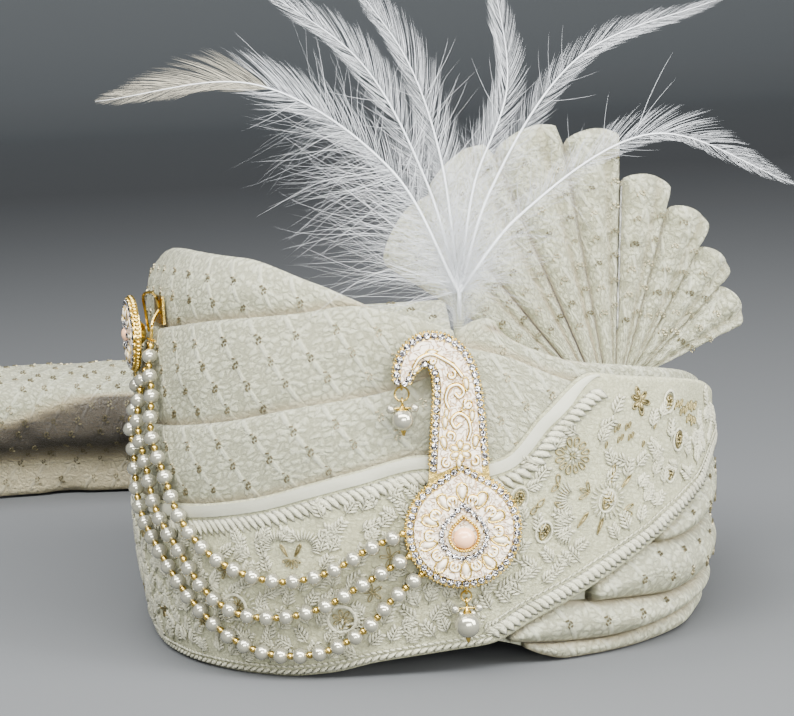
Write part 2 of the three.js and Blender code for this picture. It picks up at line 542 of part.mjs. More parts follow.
// Side brooch: a disc facing left on a gold back, with its clip and wire loops
function sideBrooch() {
  const group = new THREE.Group();
  const seat = around(SIDE.phi, SIDE.z, SIDE.out);
  group.position.copy(seat);
  group.rotation.z = rad(8);
  pagri.add(group);
  const lay = new THREE.Matrix4().makeRotationZ(Math.PI / 2);
  const disc = (r, thick, x) => bare(new THREE.CylinderGeometry(r, r, thick, 20), lay.clone().premultiply(at(x, 0, 0)));
  const boss = bare(new THREE.SphereGeometry(5, 10, 6), new THREE.Matrix4().makeScale(0.6, 1, 1).premultiply(at(2.4, 0, 0)));
  add('side_brooch_plate', fuse([disc(SIDE.radius, SIDE.thick, 0), boss,
    wireRing(1.4, 'side', 0, 0, -SIDE.radius - 0.9)]), MATERIAL.gold(), group);
  add('side_brooch_enamel', fuse([disc(SIDE.radius - 3, 1, -SIDE.thick / 2 - 0.8)]), MATERIAL.enamel(), group);
  const drop = bare(new THREE.SphereGeometry(2.8, 10, 8), at(0, 0, -SIDE.radius - 6.3));
  const hang = bare(new THREE.TorusGeometry(1.2, 0.35, SIDES.wire, 12), new THREE.Matrix4().makeRotationX(Math.PI / 2)
    .premultiply(at(0, 0, -SIDE.radius - 2.45)));
  add('side_drop_pearl', fuse([drop, hang]), MATERIAL.pearl(), group);
}

// Clip that holds the side brooch: a plate on the tier's top edge, wire loops, and the strings' bar
function sideClip() {
  const spot = (phi, z, out) => around(phi, z, out);
  const rim = along(LEFT_MIDDLE_TOP, SIDE.phi + 4);
  const seat = spot(SIDE.phi + 4, rim + 6.5, CLOTH.gap + LAYER + 2.6);
  const plate = bare(new THREE.BoxGeometry(1, 12, 11), new THREE.Matrix4().makeRotationZ(rad(14)).premultiply(at(seat.x, seat.y, seat.z)));
  const hub = spot(SIDE.phi, SIDE.z, SIDE.out - 6.6);
  const loops = [
    [seat, spot(SIDE.phi + 5, rim + 13, 9), spot(SIDE.phi + 1, rim + 12, 11), spot(SIDE.phi, rim + 5, 9), hub],
    [seat, spot(-62.5, rim + 2.4, 8), spot(-62, CONNECTOR.z, CONNECTOR.out)],
    [-64.4, -62, -59.6].map((phi) => spot(phi, CONNECTOR.z, CONNECTOR.out)),
  ];
  return fuse([plate, ...loops.map((points) => tube(new THREE.CatmullRomCurve3(points), points.length * 3, () => 0.6, SIDES.wire))]);
}

// Round solid swept along a curve, its radius given along the way
function tube(curve, count, radius, sides) {
  const rings = [];
  const up = new THREE.Vector3(0, 0, 1);
  for (let i = 0; i <= count; i += 1) {
    const t = i / count;
    const p = curve.getPointAt(t);
    const way = curve.getTangentAt(t);
    const across = new THREE.Vector3().crossVectors(way, Math.abs(way.z) > 0.95 ? new THREE.Vector3(0, 1, 0) : up).normalize();
    const over = new THREE.Vector3().crossVectors(across, way).normalize();
    const r = radius(i, t);
    rings.push(Array.from({ length: sides }, (_, j) => {
      const a = (j / sides) * Math.PI * 2;
      return p.clone().addScaledVector(across, r * Math.cos(a)).addScaledVector(over, r * Math.sin(a));
    }));
  }
  return skin(rings);
}

// How far the left wraps stand out at an angle and height
function clothFace(phi, z) {
  const reach = (wrap) => CLOTH.gap + wrap.layer * LAYER + CLOTH.thick + wrap.puff;
  const cover = WRAPS.filter((wrap) => wrap.from < phi && wrap.to > phi && z < along(wrap.top, phi) + BEAD.pearl);
  return Math.max(...cover.filter((wrap) => z > along(wrap.low ?? wrap.foot, phi) - CLOTH.tuck).map(reach));
}

// One string of pearls, every pearl followed by a seed bead
function pearlString(row) {
  const points = row.run.map((p) => around(p.phi, p.z, p.out ?? clothFace(p.phi, p.z) + BEAD.clear + BEAD.pearl));
  const curve = new THREE.CatmullRomCurve3(points);
  const rings = [];
  const shape = [{ t: 0, r: BEAD.seed }, { t: 0.3, r: BEAD.pearl * 0.94 }, { t: 0.7, r: BEAD.pearl * 0.94 }];
  const total = row.pearls;
  const lead = row.thread / curve.getLength();
  for (let i = 0; i < 3 && row.thread > 2; i += 1) rings.push({ t: (lead * i) / 3, r: BEAD.thread });
  for (let i = 0; i < total; i += 1) shape.forEach((s) => rings.push({ t: lead + (1 - lead) * (i + s.t) / total, r: s.r }));
  rings.push({ t: 1, r: BEAD.seed });
  return skin(rings.map(({ t, r }) => {
    const p = curve.getPointAt(t);
    const way = curve.getTangentAt(t);
    const across = new THREE.Vector3().crossVectors(way, new THREE.Vector3(p.x, p.y, 0).normalize()).normalize();
    const over = new THREE.Vector3().crossVectors(across, way).normalize();
    return Array.from({ length: SIDES.pearl }, (_, j) => {
      const a = (j / SIDES.pearl) * Math.PI * 2;
      return p.clone().addScaledVector(across, r * Math.cos(a)).addScaledVector(over, r * Math.sin(a));
    });
  }));
}

// Free end: cloth that runs down the back as a strap and lies on the table in a loose bundle
function tail() {
  const path = new THREE.CatmullRomCurve3(TAIL_PATH.map((p) => new THREE.Vector3(p.x, p.y, p.z)), false, 'centripetal');
  const bundle = new THREE.CatmullRomCurve3(TAIL_BUNDLE.map((p) => new THREE.Vector3(p.across, p.rise, 0)));
  const gathers = TAIL_PATH.map((p, i) => ({ at: i, is: p.gather }));
  const rings = [];
  for (let i = 0; i <= TAIL.lengths; i += 1) {
    const t = i / TAIL.lengths;
    const p = path.getPoint(t);
    const way = path.getTangent(t);
    const gather = along(gathers, t * (TAIL_PATH.length - 1));
    const side = Math.hypot(way.x, way.y) > 0.5 ? new THREE.Vector3(way.y, -way.x, 0).normalize() : new THREE.Vector3(1, 0, 0);
    const rise = new THREE.Vector3().crossVectors(side, way).normalize();
    const line = Array.from({ length: TAIL.across + 1 }, (_, j) => {
      const c = bundle.getPoint(j / TAIL.across);
      const strap = TAIL.strap * (j / TAIL.across - 0.5);
      return new THREE.Vector2(strap + (c.x - strap) * gather, c.y * gather);
    });
    const place = (j, off) => {
      const before = line[Math.max(j - 1, 0)];
      const after = line[Math.min(j + 1, TAIL.across)];
      const normal = new THREE.Vector2(before.y - after.y, after.x - before.x).normalize();
      const lift = gather > 0.02 ? Math.max(0, line[j].y + normal.y * off + TAIL.thick / 2) : off + TAIL.thick / 2;
      return p.clone().addScaledVector(side, line[j].x + normal.x * off).addScaledVector(rise, lift);
    };
    const outer = line.map((_, j) => place(j, TAIL.thick / 2));
    const inner = line.map((_, j) => place(j, -TAIL.thick / 2));
    rings.push([...outer, ...inner.reverse()]);
  }
  return skin(rings, { cap: 'strip' });
}

add('base_wrap', baseWrap(), MATERIAL.brocade());
add('crown_cover', crownCover(), MATERIAL.brocade());
WRAPS.forEach((wrap) => {
  const rings = sweep(wrap.from, wrap.to).map((phi) => wrapSection(wrap, phi));
  add(wrap.name, skin(rings, { cap: 'strip' }), wrap.name === 'front_panel' ? MATERIAL.satin() : MATERIAL.brocade());
});
ROLLS.forEach((roll) => {
  add(roll.name, skin(sweep(roll.from, 179.8).map((phi) => rollSection(roll, phi)), { cap: 'strip' }), MATERIAL.brocade());
});
add('fan', fan(), MATERIAL.brocade());
add('plume', plume(), MATERIAL.feather());
brooch();
sideBrooch();
add('side_brooch_clip', sideClip(), MATERIAL.gold());
STRINGS.forEach((row) => add(row.name, pearlString(row), MATERIAL.pearl()));
add('tail', tail(), MATERIAL.brocade());

// The part's origin is on the table, under the middle of its box
const box = new THREE.Box3().setFromObject(pagri);
const middle = box.getCenter(new THREE.Vector3());
pagri.position.set(-middle.x, -middle.y, -box.min.z);

export default pagri;
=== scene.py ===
# %% [markdown]
# # A tied turban with its fan, plume and pearls
#
# The real thing is a pre-tied groom's turban. Ivory brocade is wound in nested tiers round a thick wall,
# an embroidered band crosses the front, and a pleated fan, a plume, two brooches and three strings of
# pearls are pinned to it. The solids give every piece its place, and this script gives it its surface.

# %% Setup
import math

import bmesh
import bpy
import numpy as np
from mathutils import Matrix, Vector


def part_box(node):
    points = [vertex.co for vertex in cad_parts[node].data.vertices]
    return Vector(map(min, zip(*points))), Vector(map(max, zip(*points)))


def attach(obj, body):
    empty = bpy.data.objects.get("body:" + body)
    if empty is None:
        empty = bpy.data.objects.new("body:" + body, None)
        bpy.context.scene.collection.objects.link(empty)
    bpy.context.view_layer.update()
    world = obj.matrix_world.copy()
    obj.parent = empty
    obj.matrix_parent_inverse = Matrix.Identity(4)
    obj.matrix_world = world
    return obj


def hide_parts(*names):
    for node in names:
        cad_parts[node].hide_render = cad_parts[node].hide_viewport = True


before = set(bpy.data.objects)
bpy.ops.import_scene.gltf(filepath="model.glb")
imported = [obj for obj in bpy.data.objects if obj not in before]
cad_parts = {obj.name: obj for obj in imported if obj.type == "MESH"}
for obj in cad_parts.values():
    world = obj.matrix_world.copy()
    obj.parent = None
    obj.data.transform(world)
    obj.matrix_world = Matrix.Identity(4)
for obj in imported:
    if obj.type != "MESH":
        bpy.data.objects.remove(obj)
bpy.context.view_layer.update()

MM = 0.001

# %% [markdown]
# ## Camera
#
# A photograph of a table-top object has a long lens: its top and bottom edges stay almost parallel. The
# camera is placed by its angle round the turban, its height above the table and its distance, and rolled
# a little, because the photograph is not quite level.

# %% Camera
LOW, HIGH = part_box("base_wrap")
HUB = Vector(((LOW.x + HIGH.x) / 2, (LOW.y + HIGH.y) / 2, 0))
VIEW = {"turn": -5.5, "rise": 8.0, "roll": 2.8, "distance": 1.080, "aim_height": 0.102, "aim_side": -0.0063}
PHOTO_WIDTH, MM_PER_PX, SENSOR_MM, FAR_CLIP = 794, 0.413, 36, 20


def aim_camera():
    turn, rise, roll = (math.radians(VIEW[k]) for k in ("turn", "rise", "roll"))
    right = Vector((math.cos(turn), math.sin(turn), 0))
    back = Vector((math.sin(turn) * math.cos(rise), -math.cos(turn) * math.cos(rise), math.sin(rise)))
    up = back.cross(right)
    level = right * math.cos(roll) - up * math.sin(roll)
    steep = up * math.cos(roll) + right * math.sin(roll)
    turned = Matrix((level, steep, back)).transposed().to_4x4()
    place = HUB + right * VIEW["aim_side"] + Vector((0, 0, VIEW["aim_height"])) + back * VIEW["distance"]
    camera = bpy.data.objects.new("camera", bpy.data.cameras.new("camera"))
    bpy.context.collection.objects.link(camera)
    camera.matrix_world = Matrix.Translation(place) @ turned
    camera.data.sensor_width = SENSOR_MM
    camera.data.lens = VIEW["distance"] / (MM_PER_PX * MM) * SENSOR_MM / PHOTO_WIDTH
    camera.data.clip_end = FAR_CLIP
    bpy.context.scene.camera = camera
    return camera


camera = aim_camera()
print("lens", round(camera.data.lens, 1), "mm, camera at", [round(v, 2) for v in camera.location])

# %% [markdown]
# ## Table and light
#
# Pearls mirror the lamps, so the lamps have the shape of the highlight that a pearl shows: here a short
# level bar. One wide, thin panel high in front draws that bar, and three softer ones fill the shadows. The
# table and the wall behind it are one swept sheet of grey, painted paler towards the wall as painted light
# where less lamp light reaches, against which the white plume reads.

# %% Table and light
TABLE = {"half": 6.0, "back": 3.8, "bend": 1.0, "wall": 5.0, "steps": 8, "roughness": 0.95}
# Painted light: the far table and the wall get a paler grey where less lamp light reaches them.
PAINTED_LIGHT_GREYS = [(0.5, (0.135, 0.14, 0.143)), (0.95, (0.31, 0.325, 0.33))]
LAMPS = [
    ("bar", (-0.1, -1.05, 1.35), (2.8, 0.62), 74),
    ("over", (-0.5, 0.15, 1.5), (1.3, 1.0), 17),
    ("side", (1.25, -1.0, 0.6), (0.8, 0.9), 27),
    ("low", (0.1, -1.6, 0.35), (1.2, 0.5), 21),
]
LIT_SPOT = Vector((0, 0, 0.08))
SKY, SKY_STRENGTH = (0.82, 0.86, 0.92, 1), 0.32


def table_cloth():
    """Grey painted paler with the distance behind the turban: painted light where less lamp light reaches it.
    """
    finish = bpy.data.materials.new("table_grey")
    finish.use_nodes = True
    nodes, join = finish.node_tree.nodes, finish.node_tree.links.new
    shader, ramp = nodes["Principled BSDF"], nodes.new("ShaderNodeValToRGB")
    place, split = nodes.new("ShaderNodeTexCoord"), nodes.new("ShaderNodeSeparateXYZ")
    share = nodes.new("ShaderNodeMath")
    share.operation = "DIVIDE"
    share.inputs[1].default_value = TABLE["back"] + TABLE["bend"]
    join(place.outputs["Object"], split.inputs[0])
    join(split.outputs["Y"], share.inputs[0])
    join(share.outputs[0], ramp.inputs[0])
    join(ramp.outputs[0], shader.inputs["Base Color"])
    for stop, (position, grey) in zip(ramp.color_ramp.elements, PAINTED_LIGHT_GREYS):
        stop.position, stop.color = position, (*grey, 1)
    shader.inputs["Roughness"].default_value = TABLE["roughness"]
    return finish


def table_sweep():
    profile = [(-TABLE["half"], 0.0), (TABLE["back"], 0.0)]
    for k in range(1, TABLE["steps"] + 1):
        a = math.radians(90 * k / TABLE["steps"])
        profile.append((TABLE["back"] + TABLE["bend"] * math.sin(a), TABLE["bend"] * (1 - math.cos(a))))
    profile.append((TABLE["back"] + TABLE["bend"], TABLE["wall"]))
    verts = [(side * TABLE["half"], y, z) for y, z in profile for side in (-1, 1)]
    faces = [(2 * k, 2 * k + 1, 2 * k + 3, 2 * k + 2) for k in range(len(profile) - 1)]
    mesh = bpy.data.meshes.new("table")
    mesh.from_pydata(verts, [], faces)
    mesh.polygons.foreach_set("use_smooth", [True] * len(faces))
    table = bpy.data.objects.new("table", mesh)
    table.data.materials.append(table_cloth())
    bpy.context.collection.objects.link(table)


def lamp(name, place, size, power):
    light = bpy.data.lights.new(name, "AREA")
    light.shape, light.size, light.size_y = "RECTANGLE", *size
    light.energy = power
    holder = bpy.data.objects.new(name, light)
    holder.location = Vector(place) + HUB
    holder.rotation_euler = (LIT_SPOT + HUB - holder.location).to_track_quat("-Z", "Y").to_euler()
    bpy.context.collection.objects.link(holder)


table_sweep()
for row in LAMPS:
    lamp(*row)
world = bpy.data.worlds.new("studio")
bpy.context.scene.world = world
world.use_nodes = True
world.node_tree.nodes["Background"].inputs["Color"].default_value = SKY
world.node_tree.nodes["Background"].inputs["Strength"].default_value = SKY_STRENGTH
bpy.context.scene.view_settings.view_transform = "AgX"
bpy.context.scene.view_settings.look = "AgX - Medium High Contrast"
print("lamps", [row[0] for row in LAMPS])

# %% [markdown]
# ## Directions and lengths
#
# Three small sums come back all through the script: the two parts of a direction in degrees, directions
# made one unit long, and the length run along a line of points.

# %% Directions and lengths
TINY = 1e-12


def compass(turn):
    """Right and up parts of a direction in degrees."""
    return math.cos(math.radians(turn)), math.sin(math.radians(turn))


def unit(ways):
    """The same directions, one unit long."""
    return ways / np.linalg.norm(ways, axis=-1, keepdims=True)


def lengths(line):
    """Length along a line from its first point to every point."""
    return np.concatenate([[0], np.cumsum(np.linalg.norm(np.diff(line, axis=0), axis=1))])


# %% [markdown]
# ## The body's shape
#
# Everything is wound on one rounded oval, a little narrower at the rim and the crown. A point on the
# turban is then an angle from the front, a height, and a distance outside the wall, as in the solids'
# source. The lines where one wrap ends are short tables of angle and height in millimetres, read with a
# smooth curve that never overshoots its rows.

# %% Smooth lines and the oval
class Line:
    """Height of a cloth edge by the angle from the front, in degrees and millimetres."""

    def __init__(self, *rows):
        self.x, self.y = np.array(rows, float).T
        slope = np.diff(self.y) / np.diff(self.x)
        before, after = slope[:-1], slope[1:]
        inner = np.where(after * before > 0, 2 * after * before / (after + before + TINY), 0)
        self.tangent = np.concatenate([slope[:1], inner, slope[-1:]])

    def __call__(self, x):
        x = np.clip(x, self.x[0], self.x[-1])
        i = np.clip(np.searchsorted(self.x, x, side="right") - 1, 0, len(self.x) - 2)
        span = self.x[i + 1] - self.x[i]
        t = (x - self.x[i]) / span
        ease = t * t * (3 - 2 * t)
        into = t * (1 - t) ** 2 * span * self.tangent[i] + t * t * (t - 1) * span * self.tangent[i + 1]
        return self.y[i] * (1 - ease) + self.y[i + 1] * ease + into


BODY = {"side": 108, "front": 120, "boxy": 2.6}
GIRTH = Line((0, 0.935), (12, 0.965), (35, 0.99), (60, 1.0), (90, 1.0), (115, 0.975), (140, 0.94), (160, 0.9))


def oval(phi, side, front):
    """Radius of the rounded oval at an angle in radians."""
    n = BODY["boxy"]
    return (np.abs(np.sin(phi) / side) ** n + np.abs(np.cos(phi) / front) ** n) ** (-1 / n)


def from_hub(phi, r, z):
    """Points in metres from an angle in radians, a radius and a height in millimetres."""
    return np.stack([HUB.x + MM * r * np.sin(phi), HUB.y - MM * r * np.cos(phi), MM * z], -1)


def around(phi, z, out=0.0):
    """Points in metres at an angle in degrees, a height and a distance outside the wall in millimetres."""
    phi, z, out = np.broadcast_arrays(np.radians(phi), np.asarray(z, float), np.asarray(out, float))
    return from_hub(phi, oval(phi, BODY["side"] * GIRTH(z) + out, BODY["front"] * GIRTH(z) + out), z)


GIRT_HEIGHT, GIRT_OUT = 70.0, 6.0
GRID = np.arange(-200, 200.5, 0.5)
STEPS = np.linalg.norm(np.diff(around(GRID, GIRT_HEIGHT, GIRT_OUT), axis=0), axis=1) / MM
GIRT = np.concatenate([[0], np.cumsum(STEPS)])
GIRT -= np.interp(0, GRID, GIRT)


def girt(phi):
    """Length along the cloth from the front, in millimetres."""
    return np.interp(phi, GRID, GIRT)


def at_girt(length):
    return np.interp(length, GIRT, GRID)


print("once round the turban", round(float(girt(180) - girt(-180))), "mm")

# %% Lines where the wraps end
ARCH = Line((-180, 0), (-31, 0), (-22, 2), (-14, 6), (-2, 9), (4, 10), (11, 7), (15, 3), (20, 0), (180, 0))
LEFT_CROWN_TOP = Line((-180, 102), (-160, 107), (-140, 118), (-120, 133), (-100, 147), (-80, 155), (-60, 157),
                      (-40, 156), (-23, 147), (-15, 140), (0, 125))
LEFT_MIDDLE_TOP = Line((-180, 82), (-140, 94), (-100, 117), (-80, 125), (-62, 128), (-41, 134), (-25, 137),
                       (-17, 139), (-7, 135), (2, 128))
LEFT_LOWER_TOP = Line((-180, 64), (-140, 72), (-100, 85), (-57, 92), (-39, 97), (-25, 103), (-10, 108),
                      (2, 116))
PANEL_TOP = Line((-180, 46), (-100, 57), (-48, 64), (-33, 69), (-23, 75), (-16, 79), (-5, 84), (3, 79),
                 (8, 81), (15, 96), (24, 109), (29, 107), (51, 98), (66, 89), (85, 81), (100, 79), (180, 79))
PANEL_LOW = Line((-180, 0), (-31, 0), (-22, 2), (-14, 6), (-2, 9), (5, 10.5), (13, 19), (18, 24), (35, 42),
                 (48, 54), (66, 67), (85, 72), (100, 73), (180, 76))
RIGHT_UPPER_TOP = Line((2, 127), (5, 131), (8, 132), (11, 125), (16, 119), (22, 114), (32, 110), (51, 102),
                       (66, 94), (90, 83), (120, 80), (150, 86), (180, 98))
RIGHT_LOWER_TOP = Line((2, 123), (10, 118), (21, 107), (32, 101), (51, 94), (66, 86), (90, 77), (120, 73),
                       (150, 76), (180, 84))
RIGHT_LOWER_LOW = Line((2, 66), (8, 68), (15, 82), (24, 96), (51, 84), (66, 77), (90, 69), (120, 65),
                       (180, 68))
ROLL_1_TOP = Line((30, 77), (66, 75), (90, 67), (120, 63), (180, 65))
GROOVE_1 = Line((24, 42), (47, 39), (66, 40), (120, 42), (180, 46))
GROOVE_2 = Line((10, 25), (32, 20), (47, 17), (66, 18), (180, 28))
GROOVE_3 = Line((8, 10), (18, 7), (29, 6), (44, 8), (66, 9), (180, 13))
WALL_TOP = Line((-180, 90), (-160, 95), (-140, 106), (-120, 121), (-100, 136), (-80, 144), (-60, 146),
                (-40, 144), (-23, 134), (-7, 121), (2, 116), (16, 107), (32, 98), (62, 87), (90, 77),
                (120, 72), (150, 78), (180, 90))
CLOTH = {"thick": 2.0, "gap": 0.4, "tuck": 12.0}
LAYER = CLOTH["thick"] + CLOTH["gap"]
print("crown", float(LEFT_CROWN_TOP(-60)), "mm high on the left,", float(PANEL_TOP(3)), "mm under the brooch")

# %% [markdown]
# ## Materials as formulas
#
# A woven or stitched surface is easier to write as a formula than to wire by hand. Value holds one socket
# of a node tree, and adding or multiplying two Values adds the math node that does it. The patterns then
# read as lines of arithmetic on the cloth's own lengths, which every cloth piece carries as its UV map.

# %% New nodes and numbers inside a material
def new_node(tree, kind, operation=None, **inputs):
    """A node with its inputs fed; a name has _ for a space, and _0 is the first input."""
    made = tree.nodes.new(kind)
    if operation:
        made.operation = operation
    for key, source in inputs.items():
        feed(tree, made.inputs[int(key[1:]) if key[0] == "_" else key.replace("_", " ")], source)
    return made


def feed(tree, slot, source):
    """Link a Value or a socket to an input, or set a plain number there."""
    source = source.socket if isinstance(source, Value) else source
    if hasattr(source, "is_output"):
        tree.links.new(source, slot)
    else:
        slot.default_value = source


class Value:
    def __init__(self, tree, socket):
        self.tree, self.socket = tree, socket

    def math(self, operation, *others, first=None):
        terms = [first, self] if first is not None else [self, *others]
        inputs = {f"_{k}": term for k, term in enumerate(terms)}
        return Value(self.tree, new_node(self.tree, "ShaderNodeMath", operation, **inputs).outputs[0])

    def __add__(self, other): return self.math("ADD", other)
    def __sub__(self, other): return self.math("SUBTRACT", other)
    def __rsub__(self, other): return self.math("SUBTRACT", first=other)
    def __mul__(self, other): return self.math("MULTIPLY", other)
    def floor(self): return self.math("FLOOR")
    def fract(self): return self.math("FRACT")
    def sin(self): return self.math("SINE")
    def abs(self): return self.math("ABSOLUTE")
    def least(self, other): return self.math("MINIMUM", other)
    def most(self, other): return self.math("MAXIMUM", other)
    def clamp(self): return self.most(0.0).least(1.0)

    def fade(self, low, high):
        """1 below low, 0 above high, smooth between."""
        node = new_node(self.tree, "ShaderNodeMapRange", Value=self)
        node.interpolation_type = "SMOOTHSTEP"
        for name, value in (("From Min", low), ("From Max", high), ("To Min", 1), ("To Max", 0)):
            node.inputs[name].default_value = value
        return Value(self.tree, node.outputs["Result"])


# %% A material round one Principled shader
class Finish:
    def __init__(self, name, **fixed):
        self.material = bpy.data.materials.new(name)
        self.material.use_nodes = True
        self.tree = self.material.node_tree
        self.shader = self.tree.nodes["Principled BSDF"]
        for key, value in fixed.items():
            self.shader.inputs[key.replace("_", " ")].default_value = value

    def node(self, kind, operation=None, **inputs):
        return new_node(self.tree, kind, operation, **inputs)

    def value(self, output, kind, operation=None, **inputs):
        """One output of a new node, as a Value."""
        return Value(self.tree, self.node(kind, operation, **inputs).outputs[output])

    def cloth(self):
        """Lengths along and across the cloth, in millimetres."""
        split = self.node("ShaderNodeSeparateXYZ", Vector=self.node("ShaderNodeUVMap").outputs[0])
        return [Value(self.tree, split.outputs[axis]) * 1000.0 for axis in ("X", "Y")]

    def noise(self, scale, detail=3.0, at=None, twist=0.0):
        at = at or self.node("ShaderNodeTexCoord").outputs["Object"]
        return self.value("Fac", "ShaderNodeTexNoise", Vector=at, Scale=scale, Detail=detail, Roughness=0.55,
                          Distortion=twist)

    def join(self, x, y):
        return self.node("ShaderNodeCombineXYZ", X=x, Y=y).outputs[0]

    def marked(self, name):
        """A value that the mesh carries at its points."""
        made = self.node("ShaderNodeAttribute")
        made.attribute_name = name
        return Value(self.tree, made.outputs["Fac"])

    def stroke(self, place, start, end, half):
        """Ridge of one stitch: 1 on the line from start to end, 0 at its half width."""
        way = Vector((*end, 0)) - Vector((*start, 0))
        off = self.node("ShaderNodeVectorMath", "SUBTRACT", _0=place, _1=(*start, 0)).outputs[0]
        slope = way / way.length_squared
        share = self.value("Value", "ShaderNodeVectorMath", "DOT_PRODUCT", _0=off, _1=slope)
        foot = self.node("ShaderNodeVectorMath", "SCALE", _0=way, Scale=share.clamp()).outputs[0]
        return self.value("Value", "ShaderNodeVectorMath", "DISTANCE", _0=off, _1=foot).fade(half * 0.1, half)

    def mix(self, factor, low, high):
        made = self.node("ShaderNodeMix")
        made.data_type = "RGBA"
        feed(self.tree, made.inputs["Factor"], factor)
        for slot, tint in ((made.inputs[6], low), (made.inputs[7], high)):
            feed(self.tree, slot, (*tint, 1) if isinstance(tint, tuple) else tint)
        return made.outputs[2]

    def paint(self, socket):
        self.tree.links.new(socket, self.shader.inputs["Base Color"])

    def rough(self, value):
        self.tree.links.new(value.socket, self.shader.inputs["Roughness"])

    def bump(self, height, depth):
        """Relief of the given depth in millimetres."""
        made = self.node("ShaderNodeBump", Height=height, Distance=depth * MM)
        self.tree.links.new(made.outputs[0], self.shader.inputs["Normal"])


# %% [markdown]
# ## Brocade
#
# The cloth is an ivory weave covered in chain stitch. Dull metallic stars sit on a slanted grid, and round
# each star lie the same six plump petals, the longest running down to the right. Modelling every thread
# would be far too heavy, so the strokes are a relief written on the cloth's own lengths. The stars follow
# as geometry further on.

# %% Brocade and its kin
STAR_GRID = {"pitch": 15.8, "row": 8.3, "slant": 0.38, "over": 0.8, "before": 0.18}
# The second colour is painted shade for the hollows of the relief, the third painted warm shade for folds and
# also uneven tone, the fourth painted dark shadow for deep creases and undersides.
IVORY, SHADE, TAN_SHADE_AND_TONE, DEEP_SHADOW = (0.98, 0.985, 0.74), (0.44, 0.435, 0.275), (0.58, 0.49, 0.30), (0.10, 0.078, 0.043)
PETALS = [(-54, 5.4, 1.15, 1.0), (-104, 3.6, 0.95, 0.8), (-6, 4.8, 0.95, 0.75), (38, 3.8, 0.9, 0.65),
          (128, 4.8, 1.1, 0.85), (176, 4.6, 0.95, 0.7)]
PETAL_START = 1.7


def overlap(a, b, low, high):
    return low < max(a, b) and min(a, b) < high


def strokes_in_cell():
    """Petals of the cell's own star and of its neighbours, as far as they reach into the cell."""
    pitch, row, slant, over, before = (STAR_GRID[k] for k in ("pitch", "row", "slant", "over", "before"))
    shift, strokes = slant * pitch, []
    near = [(0, 0), (pitch, 0), (shift, -row), (shift - pitch, -row), (pitch - shift, row), (-shift, row)]
    for x, y in near:
        for turn, long, half, rise in PETALS:
            right, up = compass(turn)
            start, end = ((x + right * d, y + up * d) for d in (PETAL_START, long))
            across = overlap(start[0], end[0], -before * pitch - half, (1 - before) * pitch + half)
            along = overlap(start[1], end[1], -over * row - half, (1 - over) * row + half)
            if across and along:
                strokes.append((start, end, half, rise))
    return strokes


STROKES = strokes_in_cell()


def star_cell(finish, u, v):
    """Place within one cell of the star grid, with the star at the origin."""
    rows = v * (1 / STAR_GRID["row"]) + STAR_GRID["over"]
    row = rows.floor()
    up = (rows.fract() - STAR_GRID["over"]) * STAR_GRID["row"]
    columns = u * (1 / STAR_GRID["pitch"]) + row * STAR_GRID["slant"] + STAR_GRID["before"]
    return finish.join((columns.fract() - STAR_GRID["before"]) * STAR_GRID["pitch"], up)


def plump_cells(finish, u, v, size):
    """Uneven plump cells a few millimetres wide, with a narrow groove round each."""
    spot = finish.join(u * 0.85, v * 1.15)
    made = finish.node("ShaderNodeTexVoronoi", Vector=spot, Scale=1 / size, Randomness=1.0)
    made.feature = "DISTANCE_TO_EDGE"
    return 1.0 - Value(finish.tree, made.outputs["Distance"]).fade(0.0, 0.34)


def crinkle(finish, u, v, size=1.0):
    """Fine uneven threads of a chain-stitched ground."""
    fine = finish.noise(2.3 / size, 2.0, finish.join(u * 0.8, v * 1.5), twist=1.8)
    coarse = finish.noise(0.62 / size, 2.0, finish.join(u * 1.2, v), twist=0.8)
    return (fine - 0.5).abs() * 1.5 + coarse * 0.6


def tinted(finish, height, dark=SHADE, light=IVORY, low=0.14, gain=1.35):
    """Colour paler on the raised threads and darker between them, partly their own tone and partly painted
    shade; painted warm shade in the folds with uneven tone over the cloth, and painted dark shadow where the
    fold mark passes 1.
    """
    base = finish.mix(((height - low) * gain).clamp(), dark, light)
    mark = finish.marked("fold")
    # Painted shade from the fold mark: tan in the folds, mixed with uneven tone from noise, and painted dark
    # shadow past a mark of 1.
    fold_shade_and_tone = (mark * 0.75 + (finish.noise(14.0) - 0.5) * 0.35).clamp()
    finish.paint(finish.mix((mark - 1.0).clamp(), finish.mix(fold_shade_and_tone, base, TAN_SHADE_AND_TONE), DEEP_SHADOW))


def brocade(name):
    finish = Finish(name, Roughness=0.8, Sheen_Weight=0.3, Sheen_Roughness=0.4)
    u, v = finish.cloth()
    stray = (finish.noise(0.6, 2.0, finish.join(u, v)) - 0.5) * 1.9
    cell = star_cell(finish, u + stray, v - stray)
    threads = crinkle(finish, u, v)
    height = threads * 0.55 + plump_cells(finish, u + stray * 1.3, v + stray, 2.7) * 0.44
    for start, end, half, rise in STROKES:
        ridge = finish.stroke(cell, start, end, half * 1.35) * rise
        height = height.most(ridge * (threads * 0.75 + 0.5) + height * 0.36)
    tinted(finish, height)
    finish.bump(height, 2.6)
    return finish.material


BROCADE = brocade("brocade")
print("brocade strokes in a cell:", len(STROKES))

# %% [markdown]
# The embroidered band has a softer ground: the same crinkled thread, with no stars. Satin is the opposite
# of both, since its threads float: nearly smooth, with a sheen that runs along the ribbon. The cloth of the
# crown and the inside is a plain weave, so two crossed waves are enough.

# %% Ground, satin and plain weave
# The darker ground tint and the dimmed weave colour go into the hollows of the relief, partly the threads'
# own tone and partly painted shade.
GROUND_TINTS = (0.40, 0.39, 0.23), (0.88, 0.88, 0.625)
SATIN_TINT, SATIN_DIP, WEAVE_DIP = (0.455, 0.455, 0.36), 0.86, 0.72


def dimmed(colour, share):
    return tuple(c * share for c in colour)


